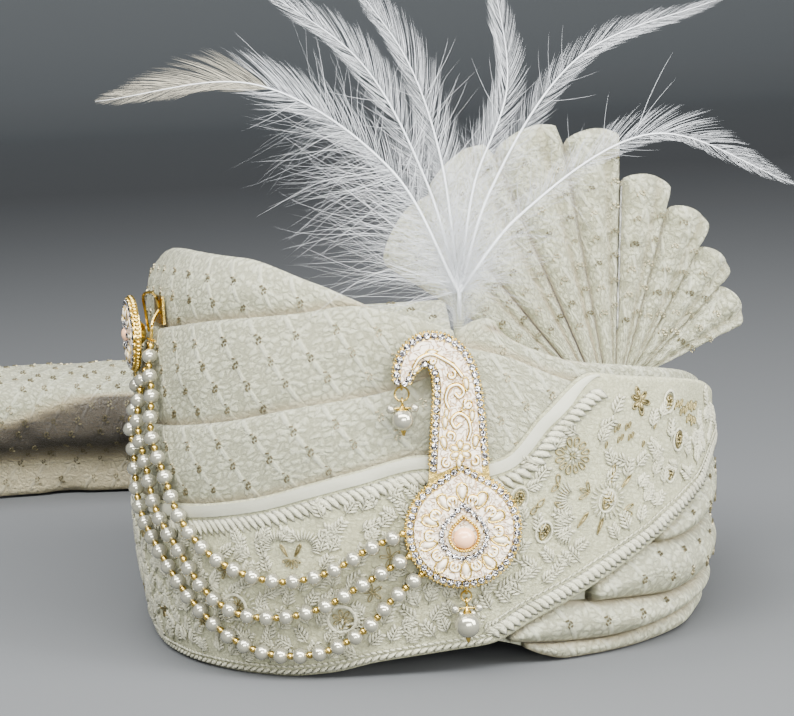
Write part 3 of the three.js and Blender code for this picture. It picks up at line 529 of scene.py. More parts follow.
def ground(name):
    finish = Finish(name, Roughness=0.82, Sheen_Weight=0.25, Sheen_Roughness=0.4)
    u, v = finish.cloth()
    net = (u * 2.1 + v * 1.4).sin() * (u * 1.3 - v * 2.0).sin() * 0.05
    height = crinkle(finish, u, v, 0.9) * 0.85 + plump_cells(finish, u, v, 1.9) * 0.28 + net
    tinted(finish, height, *GROUND_TINTS, 0.08, 1.1)
    finish.bump(height, 0.9)
    return finish.material


def satin(name):
    finish = Finish(name, Roughness=0.5, Sheen_Weight=0.2, Coat_Weight=0.12, Coat_Roughness=0.35)
    u, v = finish.cloth()
    floats = finish.noise(1.0, 2.0, finish.join(u * 0.35, v * 4.0))
    height = floats + finish.noise(0.35, 2.0, finish.join(u, v)) * 0.8
    finish.paint(finish.mix(height * 0.6, dimmed(SATIN_TINT, SATIN_DIP), SATIN_TINT))
    finish.bump(height, 0.12)
    return finish.material


def plain_weave(name):
    finish = Finish(name, Roughness=0.85, Sheen_Weight=0.2)
    u, v = finish.cloth()
    height = ((u * 7.0).sin() * (v * 7.0).sin()).abs() + finish.noise(0.5, 3.0, finish.join(u, v)) * 1.2
    tinted(finish, height, dimmed(IVORY, WEAVE_DIP), IVORY, 0.2, 0.7)
    finish.bump(height, 0.35)
    return finish.material


GROUND, SATIN, PLAIN = ground("embroidered_ground"), satin("satin_ribbon"), plain_weave("plain_weave")

# %% [markdown]
# Thread stitched by hand has a soft twist, and metal thread is the same twist with a metal's gloss. Their
# small shapes are placed as geometry, so their finishes read the object's own coordinates instead of a UV
# map, and stay still when the object is turned.

# %% Threads, metals and mother of pearl
def thread(name, light, dark, roughness, metal=0.0, grain=900.0, depth=0.25, **more):
    finish = Finish(name, Roughness=roughness, Metallic=metal, **more)
    twist = finish.noise(grain, 2.0, twist=0.6)
    worn = finish.noise(130.0, 2.0)
    finish.paint(finish.mix((twist * 0.6 + worn * 0.8 - 0.25).clamp(), dark, light))
    finish.rough(worn * 0.25 + (roughness - 0.12))
    finish.bump(twist, depth)
    return finish.material


def glossy(name, light, dark, roughness, grain=160.0, **more):
    finish = Finish(name, Roughness=roughness, **more)
    cloud = finish.noise(grain)
    finish.paint(finish.mix(cloud, dark, light))
    finish.rough(cloud * 0.16 + (roughness - 0.06))
    finish.bump(finish.noise(grain * 3, 2.0), 0.03)
    return finish.material


def cast_enamel(name, raised, groove):
    """Enamel over cast relief: plump cream islands, with the darker ground showing in curved grooves."""
    finish = Finish(name, Roughness=0.3, Coat_Weight=0.5, Coat_Roughness=0.12)
    island = 1.0 - (finish.noise(330.0, 1.0, twist=1.3) - 0.5).abs().fade(0.0, 0.07)
    finish.paint(finish.mix(island, groove, raised))
    finish.rough(finish.noise(420.0) * 0.16 + 0.24)
    finish.bump(island, 0.4)
    return finish.material


def crystal(name):
    """Foiled glass whose facets are painted nearly black or nearly white, as painted glints and painted dark
    reflections.
    """
    finish = Finish(name, Roughness=0.06, Metallic=0.9, Coat_Weight=1.0, Coat_Roughness=0.03)
    painted_glint = ((finish.noise(1500.0, 1.0) - 0.51) * 9.0 + 0.5).clamp()
    finish.paint(finish.mix(painted_glint, (0.06, 0.055, 0.062), (0.99, 0.985, 0.98)))
    finish.rough(painted_glint * 0.1 + 0.05)
    finish.bump(finish.noise(1500.0, 1.0), 0.25)
    return finish.material


COTTON = thread("embroidery_cotton", (0.72, 0.71, 0.555), (0.34, 0.33, 0.225), 0.8, 0.0, 1500.0, 0.75,
                Sheen_Weight=0.3)
ZARI = thread("gold_thread", (0.52, 0.45, 0.25), (0.15, 0.125, 0.06), 0.42, 0.8)
SEQUIN = thread("dull_sequin", (0.46, 0.42, 0.28), (0.15, 0.13, 0.08), 0.34, 0.8)
SILVER = thread("silver_thread", (0.52, 0.52, 0.49), (0.20, 0.20, 0.19), 0.38, 0.8, 1600.0, 0.5)
GOLD = thread("plated_gold", (0.83, 0.64, 0.24), (0.47, 0.335, 0.10), 0.25, 1.0, 700.0, 0.12)
STEEL = thread("pin_steel", (0.66, 0.66, 0.64), (0.42, 0.42, 0.41), 0.3, 1.0)
PEARL = glossy("pearl", (0.52, 0.505, 0.405), (0.36, 0.35, 0.28), 0.13, Metallic=0.6, Coat_Weight=1.0,
               Coat_Roughness=0.05)
ENAMEL = cast_enamel("peach_enamel", (0.87, 0.775, 0.64), (0.60, 0.41, 0.235))
CREAM = glossy("cream_enamel", (0.90, 0.84, 0.69), (0.83, 0.73, 0.56), 0.3, 420.0, Coat_Weight=0.4,
               Coat_Roughness=0.15)
PEACH = glossy("peach_stone", (0.93, 0.60, 0.39), (0.84, 0.48, 0.28), 0.14, Coat_Weight=0.6,
               Coat_Roughness=0.04)
CRYSTAL = crystal("foiled_crystal")
FEATHER = glossy("white_feather", (0.80, 0.815, 0.825), (0.62, 0.645, 0.665), 0.6, Sheen_Weight=0.3)
IVORY_TIP = glossy("ivory_feather", (0.62, 0.575, 0.45), (0.48, 0.44, 0.33), 0.6, Sheen_Weight=0.3)
print("finishes", len(bpy.data.materials))

# %% [markdown]
# ## One cloth wall
#
# Each wrap, roll, fan and tail is a wall of cloth: a grid of points for its face, the same grid pushed in
# for its back, and a strip that closes the rim. cloth_wall makes it from two arrays. It keeps the lengths
# along the cloth as the UV map, so a pattern follows every fold, and a mark for how deep in a fold a point
# lies, from which the material paints warm shade between two tiers and dark shadow in the deepest folds.

# %% Cloth walls
def link(name, mesh, material=None):
    piece = bpy.data.objects.new(name, mesh)
    if material:
        mesh.materials.append(material)
    bpy.context.collection.objects.link(piece)
    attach(piece, "root")
    return piece


def facing_out(mesh):
    shape = bmesh.new()
    shape.from_mesh(mesh)
    bmesh.ops.recalc_face_normals(shape, faces=shape.faces)
    shape.to_mesh(mesh)
    shape.free()


def wall_faces(cols, rows, loop):
    count, faces = cols * rows, []
    for i in range(cols if loop else cols - 1):
        a, b = i * rows, (i + 1) % cols * rows
        for j in range(rows - 1):
            faces.append((a + j, b + j, b + j + 1, a + j + 1))
            faces.append((count + a + j, count + a + j + 1, count + b + j + 1, count + b + j))
        faces.append((a, count + a, count + b, b))
        faces.append((a + rows - 1, b + rows - 1, count + b + rows - 1, count + a + rows - 1))
    if not loop:
        end = (cols - 1) * rows
        for j in range(rows - 1):
            faces.append((j, j + 1, count + j + 1, count + j))
            faces.append((end + j, count + end + j, count + end + j + 1, end + j + 1))
    return faces


def cloth_wall(name, face, back, uv, material, loop=False, fold=None):
    """Closed wall from two grids of points, columns x rows x 3, and their UV in millimetres."""
    cols, rows = face.shape[:2]
    mesh = bpy.data.meshes.new(name)
    points = np.concatenate([face.reshape(-1, 3), back.reshape(-1, 3)])
    mesh.from_pydata(points.tolist(), [], wall_faces(cols, rows, loop))
    facing_out(mesh)
    corner, size = np.empty(len(mesh.loops), np.int32), len(mesh.polygons)
    mesh.loops.foreach_get("vertex_index", corner)
    values = np.concatenate([uv.reshape(-1, 2)] * 2)[corner] * MM
    if loop:
        seam, low = np.ptp(values[:, 0]), values[:, 0].min()
        quads = values.reshape(size, 4, 2)
        wide = np.ptp(quads[:, :, 0], axis=1) > seam / 2
        quads[wide, :, 0] += np.where(quads[wide, :, 0] < low + seam / 2, seam, 0)
    mesh.uv_layers.new(name="cloth").data.foreach_set("uv", values.ravel())
    depth = np.zeros((cols, rows)) if fold is None else np.broadcast_to(fold, (cols, rows))
    marks = np.tile(depth.ravel(), 2).astype(np.float32)
    mesh.attributes.new("fold", "FLOAT", "POINT").data.foreach_set("value", marks)
    mesh.polygons.foreach_set("use_smooth", [True] * size)
    return link(name, mesh, material)


def grid_uv(u, v):
    return np.stack(np.broadcast_arrays(u, v), -1)


def dress(piece, node=None):
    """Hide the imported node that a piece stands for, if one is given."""
    if node:
        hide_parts(node)
    return piece


def seed_of(name):
    return sum(ord(c) * (k + 3) for k, c in enumerate(name)) % 9973


def ripple(u, v, seed, size):
    """Soft unevenness of hand-tied cloth, in millimetres, from a few slanted waves."""
    rng, total = np.random.default_rng(seed), 0.0
    for _ in range(7):
        long, tilt, phase = rng.uniform(24, 70), rng.uniform(-0.6, 0.6), rng.uniform(0, 6.28)
        total = total + np.sin(6.28 * (u + tilt * 3 * v) / long + phase)
        total = total + 0.5 * np.sin(6.28 * (v + tilt * u) / (long * 0.7) + 2 * phase)
    return size * total * 0.23


# %% [markdown]
# ## The tiers
#
# On the left three tiers of brocade stand in each other like cups, and every tier hides the foot of the
# one above. On the right two flatter folds run from the brooch towards the fan. A tier's section is
# described from its tucked foot to its top edge, which is turned in, as a folded edge is. The pattern is
# measured from that edge, because the cloth was folded straight before it was wound. The highest fold on
# the right is pinched in two creases where it comes out from behind the brooch.

# %% Tiers
SEAM = 179.8
TIERS = [
    {"name": "left_fold_top", "layer": 0, "from": -SEAM, "to": -1, "top": LEFT_CROWN_TOP,
     "low": LEFT_MIDDLE_TOP, "puff": 2.2},
    {"name": "left_fold_middle", "layer": 1, "from": -SEAM, "to": 1.6, "top": LEFT_MIDDLE_TOP,
     "low": LEFT_LOWER_TOP, "puff": 2.6},
    {"name": "left_fold_lower", "layer": 2, "from": -SEAM, "to": 1.6, "top": LEFT_LOWER_TOP,
     "low": PANEL_TOP, "puff": 2.2},
    {"name": "right_crown_fold_1", "layer": 2, "from": 2, "to": SEAM, "top": RIGHT_LOWER_TOP,
     "foot": RIGHT_LOWER_LOW, "puff": 0.9},
    {"name": "right_crown_fold_2", "layer": 1, "from": 2, "to": SEAM, "top": RIGHT_UPPER_TOP,
     "low": RIGHT_LOWER_TOP, "tuck": 6, "puff": 0.9, "crease": [(6, 129, -0.55), (10, 126, -0.95)]},
]
FINE, TIER_ROWS, TIER_EDGE = 2.2, 34, 2.2
CREASE = {"half": 1.3, "grow": 3, "run": 17, "fade": 9, "deep": 0.9, "shade": 1.7}
LEAN_IN = {"above": 143, "over": 14, "reach": 4.5}


def tier_lines(tier, phi):
    tuck = tier.get("tuck", CLOTH["tuck"])
    if "foot" in tier:
        return tier["foot"](phi), tier["foot"](phi), tier["top"](phi)
    top = np.maximum(tier["top"](phi), tier["low"](phi) - tuck + 2)
    cover = np.minimum(tier["low"](phi), top - 1)
    return np.minimum(cover - tuck, top - 2), cover, top


def creased(tier, phi, z):
    """1 in the middle of a pinched fold that starts at an angle and height and runs down to the right."""
    deep = 0.0
    for start, high, slope in tier.get("crease", []):
        off = z - (high + slope * (phi - start))
        opened = np.clip((phi - start) / CREASE["grow"], 0, 1)
        closed = np.clip((start + CREASE["run"] - phi) / CREASE["fade"], 0, 1)
        deep = np.maximum(deep, np.exp(-(off / CREASE["half"]) ** 2) * opened * closed)
    return deep


def clear_of_ends(wrap, phi):
    """0 at both ends of a wrap and 1 away from them."""
    return np.clip(np.minimum(phi - wrap["from"], wrap["to"] - phi) / 12, 0, 1)


def tier_out(tier, phi, z):
    """Distance of a tier's face outside the wall; the highest fold leans in over the wall's edge."""
    _, cover, top = tier_lines(tier, phi)
    bare = np.clip((z - cover) / np.maximum(top - cover, 1), 0, 1)
    crown = np.clip(np.sin(np.pi * bare ** 0.9), 0, 1) ** 0.75
    soft = ripple(girt(phi), z, seed_of(tier["name"]), 0.7) * clear_of_ends(tier, phi)
    swell = tier["puff"] * np.clip((top - cover) / 16, 0, 1) + soft
    lean = LEAN_IN["reach"] * np.clip((z - LEAN_IN["above"]) / LEAN_IN["over"], 0, 1) ** 1.4
    flat = CLOTH["gap"] + tier["layer"] * LAYER + CLOTH["thick"]
    return flat + swell * crown - lean - CREASE["deep"] * creased(tier, phi, z)


def steps_along(wrap, fine=FINE):
    """Angles of a wrap from end to end, evenly spaced along the cloth."""
    start, end = girt(wrap["from"]), girt(wrap["to"])
    return at_girt(np.linspace(start, end, int((end - start) / fine)))[:, None]


def build_tier(tier):
    phi = steps_along(tier)
    foot, cover, top = tier_lines(tier, phi)
    z = foot + (top - foot) * np.linspace(0, 1, TIER_ROWS)[None, :]
    edge = np.clip((z - (top - TIER_EDGE)) / TIER_EDGE, 0, 1) ** 2
    out = tier_out(tier, phi, z)
    face = around(phi, z - 0.5 * edge, out - 1.3 * edge)
    back = around(phi, z - 0.7 * edge, out - CLOTH["thick"] + 0.1 * edge)
    # Painted shade: the mark is highest under the tier above and in the pinched creases, where it passes 1
    # for painted dark shadow.
    fold = np.clip(1 - (z - cover) / 3.5, 0, 1) + CREASE["shade"] * creased(tier, phi, z)
    piece = cloth_wall(tier["name"] + "_cloth", face, back, grid_uv(girt(phi), z - top), BROCADE, fold=fold)
    dress(piece, tier["name"])
    return piece


for tier in TIERS:
    piece = build_tier(tier)
    print(piece.name, len(piece.data.polygons))

# %% [markdown]
# ## The rolls on the right
#
# Under the embroidered band the cloth is wound in padded rolls. Each is bulged where the band leaves it
# bare and flat where the band covers it.

# %% Rolls
ROLLS = [
    {"name": "right_roll_1", "from": 38, "to": SEAM, "top": ROLL_1_TOP, "foot": GROOVE_1, "puff": 4.5},
    {"name": "right_roll_2", "from": 24, "to": SEAM, "top": GROOVE_1, "foot": GROOVE_2, "puff": 4.5},
    {"name": "right_roll_3", "from": 9, "to": SEAM, "top": GROOVE_2, "foot": GROOVE_3, "puff": 4.0},
    {"name": "right_roll_4", "from": 12, "to": SEAM, "top": GROOVE_3, "foot": ARCH, "puff": 2.5},
]
ROLL = {"face": 6.8, "hollow": 3.2, "rows": 26, "shade": 2.2, "fill": 0.7}


def roll_lines(roll, phi):
    hem, foot = PANEL_LOW(phi), roll["foot"](phi) + 0.15
    top = np.maximum(foot + 1.2, np.minimum(roll["top"](phi) - 0.1, hem + CLOTH["tuck"]))
    return foot, np.minimum(top, np.maximum(foot + 0.6, hem - 1)), top


def roll_out(roll, phi, z):
    foot, bare, _ = roll_lines(roll, phi)
    share = np.clip((z - foot) / np.maximum(bare - foot, 0.1), 0, 1)
    curve = np.clip(np.sin(np.pi * share), 0, 1) ** 0.62
    soft = ripple(girt(phi), z, seed_of(roll["name"]), 0.8)
    swell = roll["puff"] * np.clip((bare - foot - 1) / 9, 0, 1) + soft
    return ROLL["face"] - ROLL["hollow"] * (1 - curve) * np.clip((bare - foot) / 12, 0, 1) + swell * curve


def build_roll(roll):
    phi = steps_along(roll)
    foot, bare, top = roll_lines(roll, phi)
    z = np.concatenate([foot + (bare - foot) * np.linspace(0, 1, ROLL["rows"])[None, :],
                        bare + (top - bare) * np.array([[0.34, 0.67, 1.0]])], 1)
    out = roll_out(roll, phi, z)
    # Painted shade in the groove at the roll's foot and along the band's edge.
    fold = np.clip(1 - np.minimum(z - foot, np.abs(bare - z)) / ROLL["shade"], 0, 1)
    piece = cloth_wall(roll["name"] + "_cloth", around(phi, z, out), around(phi, z, CLOTH["gap"]),
                       grid_uv(girt(phi), z - foot), BROCADE, fold=fold)
    dress(piece, roll["name"])
    return piece


for roll in ROLLS:
    piece = build_roll(roll)
    print(piece.name, len(piece.data.polygons))

# %% [markdown]
# ## Wall, crown and inside
#
# The wound wall behind the tiers is thick and hollow, since the head goes into it. Its outside is mostly
# covered, but its inside and its rim are seen from below, and the crown from above. The crown's cloth is
# pleated towards the middle, so its height has a small wave that grows outwards.

# %% Wall and crown
HEAD = {"side": 79, "front": 98}
CROWN = {"centre": 108, "thick": 3, "pleats": 44, "wave": 0.9}


def cover_top(phi, share):
    return WALL_TOP(phi) * share + CROWN["centre"] * (1 - share)


def head_oval(phi, z):
    a = np.radians(phi)
    r, z = np.broadcast_arrays(oval(a, HEAD["side"], HEAD["front"]), z)
    return from_hub(a, r, z)


def reach(points):
    """Level distance from the middle of the turban, in metres."""
    return np.linalg.norm(points[..., :2] - np.array(HUB[:2]), axis=-1)


def build_wall():
    phi = np.linspace(-180, 180, 181)[:-1, None]
    low = ARCH(phi)
    share = reach(head_oval(phi, 0)) / reach(around(phi, WALL_TOP(phi)))
    drop = CROWN["thick"] + CLOTH["gap"]
    rows = np.linspace(0, 1, 22)[None, :]
    outer = around(phi, low + (WALL_TOP(phi) - drop - low) * rows)
    inner_z = low + (cover_top(phi, share) - drop - low) * rows
    uv = grid_uv(girt(phi), inner_z)
    piece = cloth_wall("base_wrap_cloth", outer, head_oval(phi, inner_z), uv, PLAIN, loop=True)
    dress(piece, "base_wrap")
    return piece


def build_crown():
    phi = np.linspace(-180, 180, 529)[:-1, None]
    share = np.linspace(0.004, 1, 26)[None, :]
    wall = around(phi, WALL_TOP(phi))
    flat = np.array([HUB.x, HUB.y, 0])
    pleat = np.sin(np.radians(phi) * CROWN["pleats"])
    wave = CROWN["wave"] * pleat * np.sin(np.pi * np.clip(share * 1.02, 0, 1)) ** 0.6
    top = (wall - flat) * share[..., None] + flat
    under = top.copy()
    top[..., 2] = MM * (cover_top(phi, share) + wave - CROWN["wave"])
    under[..., 2] = MM * (cover_top(phi, share) - CROWN["thick"] + wave * 0.3)
    # Painted shade in the troughs of the pleats.
    fold, uv = np.clip(-wave, 0, 1), grid_uv(phi * 1.3 * share, share * 100)
    piece = cloth_wall("crown_cover_cloth", top, under, uv, PLAIN, loop=True, fold=fold)
    dress(piece, "crown_cover")
    return piece


for piece in (build_wall(), build_crown()):
    print(piece.name, len(piece.data.polygons))

# %% [markdown]
# ## The embroidered band
#
# A wide band runs round the turban, low on the left and rising over the rolls on the right. Its plan is
# drawn flat, as its embroiderer drew it: lengths along the band from the front, and heights. A border is a
# run beside one of its edges, at a set distance from it, so it turns with the edge.

# %% The band
PANEL = {"layer": 3.25, "from": -SEAM, "to": 98, "rows": 60, "round": 1.4}


def panel_out(phi, z):
    edge = np.clip(np.minimum(PANEL_TOP(phi) - z, z - PANEL_LOW(phi)) / 6, 0, 1)
    soft = ripple(girt(phi), z, 31, 0.5) * clear_of_ends(PANEL, phi) * edge
    return CLOTH["gap"] + PANEL["layer"] * LAYER + CLOTH["thick"] + soft


def build_panel():
    phi = steps_along(PANEL, 2)
    low, top = PANEL_LOW(phi), PANEL_TOP(phi)
    z = low + (top - low) * np.linspace(0, 1, PANEL["rows"])[None, :]
    round_off = np.clip(1 - np.minimum(z - low, top - z) / PANEL["round"], 0, 1) ** 2
    out = panel_out(phi, z)
    face = around(phi, z, out - 0.9 * round_off)
    back = around(phi, z, out - CLOTH["thick"])
    piece = cloth_wall("front_panel_cloth", face, back, grid_uv(girt(phi), z), GROUND)
    print(piece.name, len(piece.data.polygons))
    return dress(piece, "front_panel"), face


def on_panel(s, z, lift=0.0):
    """Point of the band's face at a length from the front and a height, in millimetres."""
    phi = at_girt(s)
    return around(phi, z, panel_out(phi, z) + lift)


band, band_face = build_panel()

# %% [markdown]
# ## Small shapes set in place
#
# Stars, stitches, pearls, stones and the barbs of a feather are all one small shape repeated hundreds of
# times along a path or over a surface. Copying objects would be slow, so one Geometry Nodes tree does it:
# a mesh of loose points carries each copy's directions and size, and the tree sets the shape on every
# point, varies the size a little with a fixed seed, and joins the copies into one plain mesh.

# %% The tree that sets shapes in place
def setting_tree():
    tree = bpy.data.node_groups.new("set_in_place", "GeometryNodeTree")
    kinds = {"Geometry": "Geometry", "Shape": "Object", "Finish": "Material", "Uneven": "Float"}
    for name, kind in kinds.items():
        tree.interface.new_socket(name, in_out="INPUT", socket_type="NodeSocket" + kind)
    tree.interface.new_socket("Geometry", in_out="OUTPUT", socket_type="NodeSocketGeometry")

    def add(kind, operation=None, **inputs):
        return new_node(tree, kind, operation, **inputs)

    def carried(name):
        node = add("GeometryNodeInputNamedAttribute", Name=name)
        node.data_type = "FLOAT_VECTOR"
        return node.outputs["Attribute"]

    given = add("NodeGroupInput").outputs
    stand = add("FunctionNodeAlignRotationToVector", Vector=carried("away"))
    stand.axis = "Z"
    turn = add("FunctionNodeAlignRotationToVector", Rotation=stand.outputs[0], Vector=carried("along"))
    turn.axis, turn.pivot_axis = "X", "Z"
    chance = add("FunctionNodeRandomValue", Seed=7)
    less = add("ShaderNodeMath", "MULTIPLY", _0=chance.outputs[1], _1=given["Uneven"])
    keep = add("ShaderNodeMath", "SUBTRACT", _0=1.0, _1=less.outputs[0])
    grow = add("ShaderNodeVectorMath", "SCALE", _0=carried("size"), Scale=keep.outputs[0])
    shape = add("GeometryNodeObjectInfo", Object=given["Shape"]).outputs["Geometry"]
    copies = add("GeometryNodeInstanceOnPoints", Points=given["Geometry"], Instance=shape,
                 Rotation=turn.outputs[0], Scale=grow.outputs[0])
    real = add("GeometryNodeRealizeInstances", Geometry=copies.outputs[0])
    coat = add("GeometryNodeSetMaterial", Geometry=real.outputs[0], Material=given["Finish"])
    add("NodeGroupOutput", Geometry=coat.outputs[0])
    return tree


SETTING = setting_tree()


def set_in_place(name, shape, places, along, away, size, material, uneven=0.0, node=None):
    """One mesh of copies of a shape; directions and sizes are given for every place."""
    places = np.asarray(places, float).reshape(-1, 3)
    mesh = bpy.data.meshes.new(name)
    mesh.from_pydata(places.tolist(), [], [])
    for key, value in (("along", along), ("away", away), ("size", size)):
        value = np.broadcast_to(np.asarray(value, float), places.shape).astype(np.float32)
        mesh.attributes.new(key, "FLOAT_VECTOR", "POINT").data.foreach_set("vector", value.ravel())
    holder, sample = bpy.data.objects.new(name, mesh), bpy.data.objects.new(name + "_shape", shape)
    for item in (holder, sample):
        bpy.context.collection.objects.link(item)
    tool = holder.modifiers.new("set", "NODES")
    tool.node_group = SETTING
    for item in SETTING.interface.items_tree:
        if item.in_out == "INPUT" and item.name in ("Shape", "Finish", "Uneven"):
            tool[item.identifier] = {"Shape": sample, "Finish": material, "Uneven": uneven}[item.name]
    result = bpy.data.meshes.new_from_object(holder.evaluated_get(bpy.context.evaluated_depsgraph_get()))
    for item in (holder, sample):
        bpy.data.objects.remove(item)
    for key in ("along", "away", "size"):
        if key in result.attributes:
            result.attributes.remove(result.attributes[key])
    print(name, len(places), "copies,", len(result.polygons), "faces")
    return dress(link(name, result), node)


# %% [markdown]
# The shapes themselves have few faces, because there are so many of them. Each is one unit long, so that
# a place's size is its real size in metres.

# %% Small shapes
def shape_mesh(name, verts, faces, smooth=True):
    mesh = bpy.data.meshes.new(name)
    mesh.from_pydata([tuple(map(float, v)) for v in verts], [], faces)
    facing_out(mesh)
    mesh.polygons.foreach_set("use_smooth", [smooth] * len(mesh.polygons))
    return mesh


STITCH_FULL = (0.75, 1.0, 0.7)


def stitch_shape(bend=0.0):
    """A raised stitch from 0 to 1 along X, half a unit wide each side, lying on the cloth."""
    verts, faces, count = [(0, 0, 0.1)], [], len(STITCH_FULL)
    for k, wide in enumerate(STITCH_FULL):
        x = (k + 1) / (count + 1)
        y = bend * math.sin(math.pi * x)
        verts += [(x, y - 0.5 * wide, 0), (x, y, 0.9 * wide), (x, y + 0.5 * wide, 0), (x, y, -0.3)]
    verts.append((1, 0, 0.1))
    last = len(verts) - 1
    for j in range(4):
        faces.append((0, 1 + j, 1 + (j + 1) % 4))
        for k in range(count - 1):
            a, b = 1 + 4 * k, 5 + 4 * k
            faces.append((a + j, b + j, b + (j + 1) % 4, a + (j + 1) % 4))
        faces.append((last, last - 4 + (j + 1) % 4, last - 4 + j))
    return shape_mesh("stitch", verts, faces)


RING_STEPS, RING_SIDES = 14, 5


def ring_shape(wire=0.11, squeeze=0.0):
    """A wire loop one unit long along X; squeeze draws its start to a point."""
    verts, faces = [], []
    for i in range(RING_STEPS):
        a = 2 * math.pi * i / RING_STEPS
        ca, sa, pinch = math.cos(a), math.sin(a), 1 - squeeze * (1 - math.cos(a)) / 2
        for j in range(RING_SIDES):
            b = 2 * math.pi * j / RING_SIDES
            x, y = 0.5 * ca + 0.5 + wire * ca * math.cos(b), 0.5 * sa * pinch + wire * sa * math.cos(b)
            verts.append((x, y, wire * math.sin(b)))
            here, ahead, j_next = i * RING_SIDES, (i + 1) % RING_STEPS * RING_SIDES, (j + 1) % RING_SIDES
            faces.append((here + j, ahead + j, ahead + j_next, here + j_next))
    return shape_mesh("ring", verts, faces)


def ball_shape(across=14, down=9):
    shape = bmesh.new()
    bmesh.ops.create_uvsphere(shape, u_segments=across, v_segments=down, radius=1)
    mesh = bpy.data.meshes.new("ball")
    shape.to_mesh(mesh)
    shape.free()
    mesh.polygons.foreach_set("use_smooth", [True] * len(mesh.polygons))
    return mesh


STAR_BARS = [(-0.25, 0.62, 12, 0.62), (0.42, 0.2, -52, 0.55), (0.02, -0.02, 60, 0.4), (-0.1, -0.52, -60, 0.6),
             (0.42, -0.42, 55, 0.42)]
BOX_FACES = [(3, 2, 1, 0), (4, 5, 6, 7), (0, 1, 5, 4), (1, 2, 6, 5), (2, 3, 7, 6), (3, 0, 4, 7)]


def bar_star_shape():
    """Cluster of short metal bars that makes one star of the brocade, about one unit wide."""
    verts, faces = [], []
    for x, y, turn, long in STAR_BARS:
        (ca, sa), first = compass(turn), len(verts)
        for z, share in ((-0.1, 1.0), (0.16, 0.7)):
            for dx, dy in ((-1, -1), (1, -1), (1, 1), (-1, 1)):
                px, py = dx * long / 2 * share, dy * 0.13 * share
                verts.append((x + px * ca - py * sa, y + px * sa + py * ca, z))
        faces += [tuple(first + k for k in f) for f in BOX_FACES]
    return shape_mesh("bar_star", verts, faces, smooth=False)


STITCH, BENT_STITCH = stitch_shape(), stitch_shape(0.22)
DROP_LOOP, FINE_LOOP = ring_shape(squeeze=0.55), ring_shape(wire=0.075, squeeze=0.55)
FINE_RIM = ring_shape(wire=0.07)
BALL, SMALL_BALL, STAR = ball_shape(), ball_shape(9, 6), bar_star_shape()


def on_cloth(phi, z, out, turn=0.0):
    """Places on the body with their direction along the cloth, turned anticlockwise, and away from it."""
    p = around(phi, z, out)
    level = unit(around(phi + 0.3, z, out) - around(phi - 0.3, z, out))
    up = around(phi, z + 0.5, out) - around(phi, z - 0.5, out)
    up = unit(up - level * (level * up).sum(-1, keepdims=True))
    turn = np.radians(np.broadcast_to(turn, p.shape[:-1]))[..., None]
    return p, level * np.cos(turn) + up * np.sin(turn), np.cross(level, up)


# %% [markdown]
# ## Stars of the brocade
#
# Every cell of the grid gets one star. The rows are counted from the same edge as the pattern in the
# material, so the strokes and the stars meet.

# %% Stars on tiers and rolls
STAR_SIZE, STAR_UNEVEN = 2.9, 0.2


def grid_spots(span, depth):
    """Star places as lengths along the cloth and heights over its reference edge."""
    rows = np.arange(math.floor(depth[0] / STAR_GRID["row"]), math.ceil(depth[1] / STAR_GRID["row"]) + 1)
    spots = []
    for row in rows:
        first = math.floor(span[0] / STAR_GRID["pitch"] + row * STAR_GRID["slant"])
        count = int((span[1] - span[0]) / STAR_GRID["pitch"]) + 2
        u = (np.arange(first, first + count) - row * STAR_GRID["slant"]) * STAR_GRID["pitch"]
        spots += [(s, row * STAR_GRID["row"]) for s in u if span[0] < s < span[1]]
    return np.array(spots).T


def stars(name, u, z, phi, out, low, high):
    inside = (z > low + 1.5) & (z < high - 1.5)
    p, along, away = on_cloth(phi[inside], z[inside], out[inside] + 0.1, 8 * np.sin(u[inside] * 1.7))
    set_in_place(name, STAR, p, along, away, STAR_SIZE * MM, SEQUIN, STAR_UNEVEN)


for tier in TIERS:
    u, v = grid_spots((girt(tier["from"]), girt(tier["to"])), (-90, 0))
    phi = at_girt(u)
    foot, cover, top = tier_lines(tier, phi)
    z = v + top
    stars(tier["name"] + "_stars", u, z, phi, tier_out(tier, phi, z), cover, top)
for roll in ROLLS:
    u, v = grid_spots((girt(roll["from"]), girt(roll["to"])), (0, 60))
    phi = at_girt(u)
    foot, bare, top = roll_lines(roll, phi)
    z = v + foot
    stars(roll["name"] + "_stars", u, z, phi, roll_out(roll, phi, z), foot, bare)

# %% [markdown]
# ## Borders of the band
#
# A satin ribbon runs under the band's top edge, with a chain of slanted leaves below it. The rising lower
# edge carries a rope of thicker leaves, and the rim a fine twisted cord. All three are stitches set along
# a run beside an edge, turned by a fixed slant from the run's own direction.

# %% Ribbon and leaf chains
BORDER = {"ribbon": 4.3, "leaf": 8.8, "leaf_slant": -52, "rope": 7.8, "rope_slant": -58}


def run_beside(edge, start, end, inset):
    """Lengths, heights and direction along a run that keeps a distance inside an edge."""
    s = np.arange(start, end, 1.0)
    z = edge(at_girt(s))
    rise = np.gradient(z, s)
    rise = np.convolve(np.pad(rise, 5, "edge"), np.ones(11) / 11, "valid")
    long = np.hypot(1, rise)
    return s + rise / long * inset, z - inset / long, rise


RIBBON_ROWS, RIBBON_TAPER = 6, 16


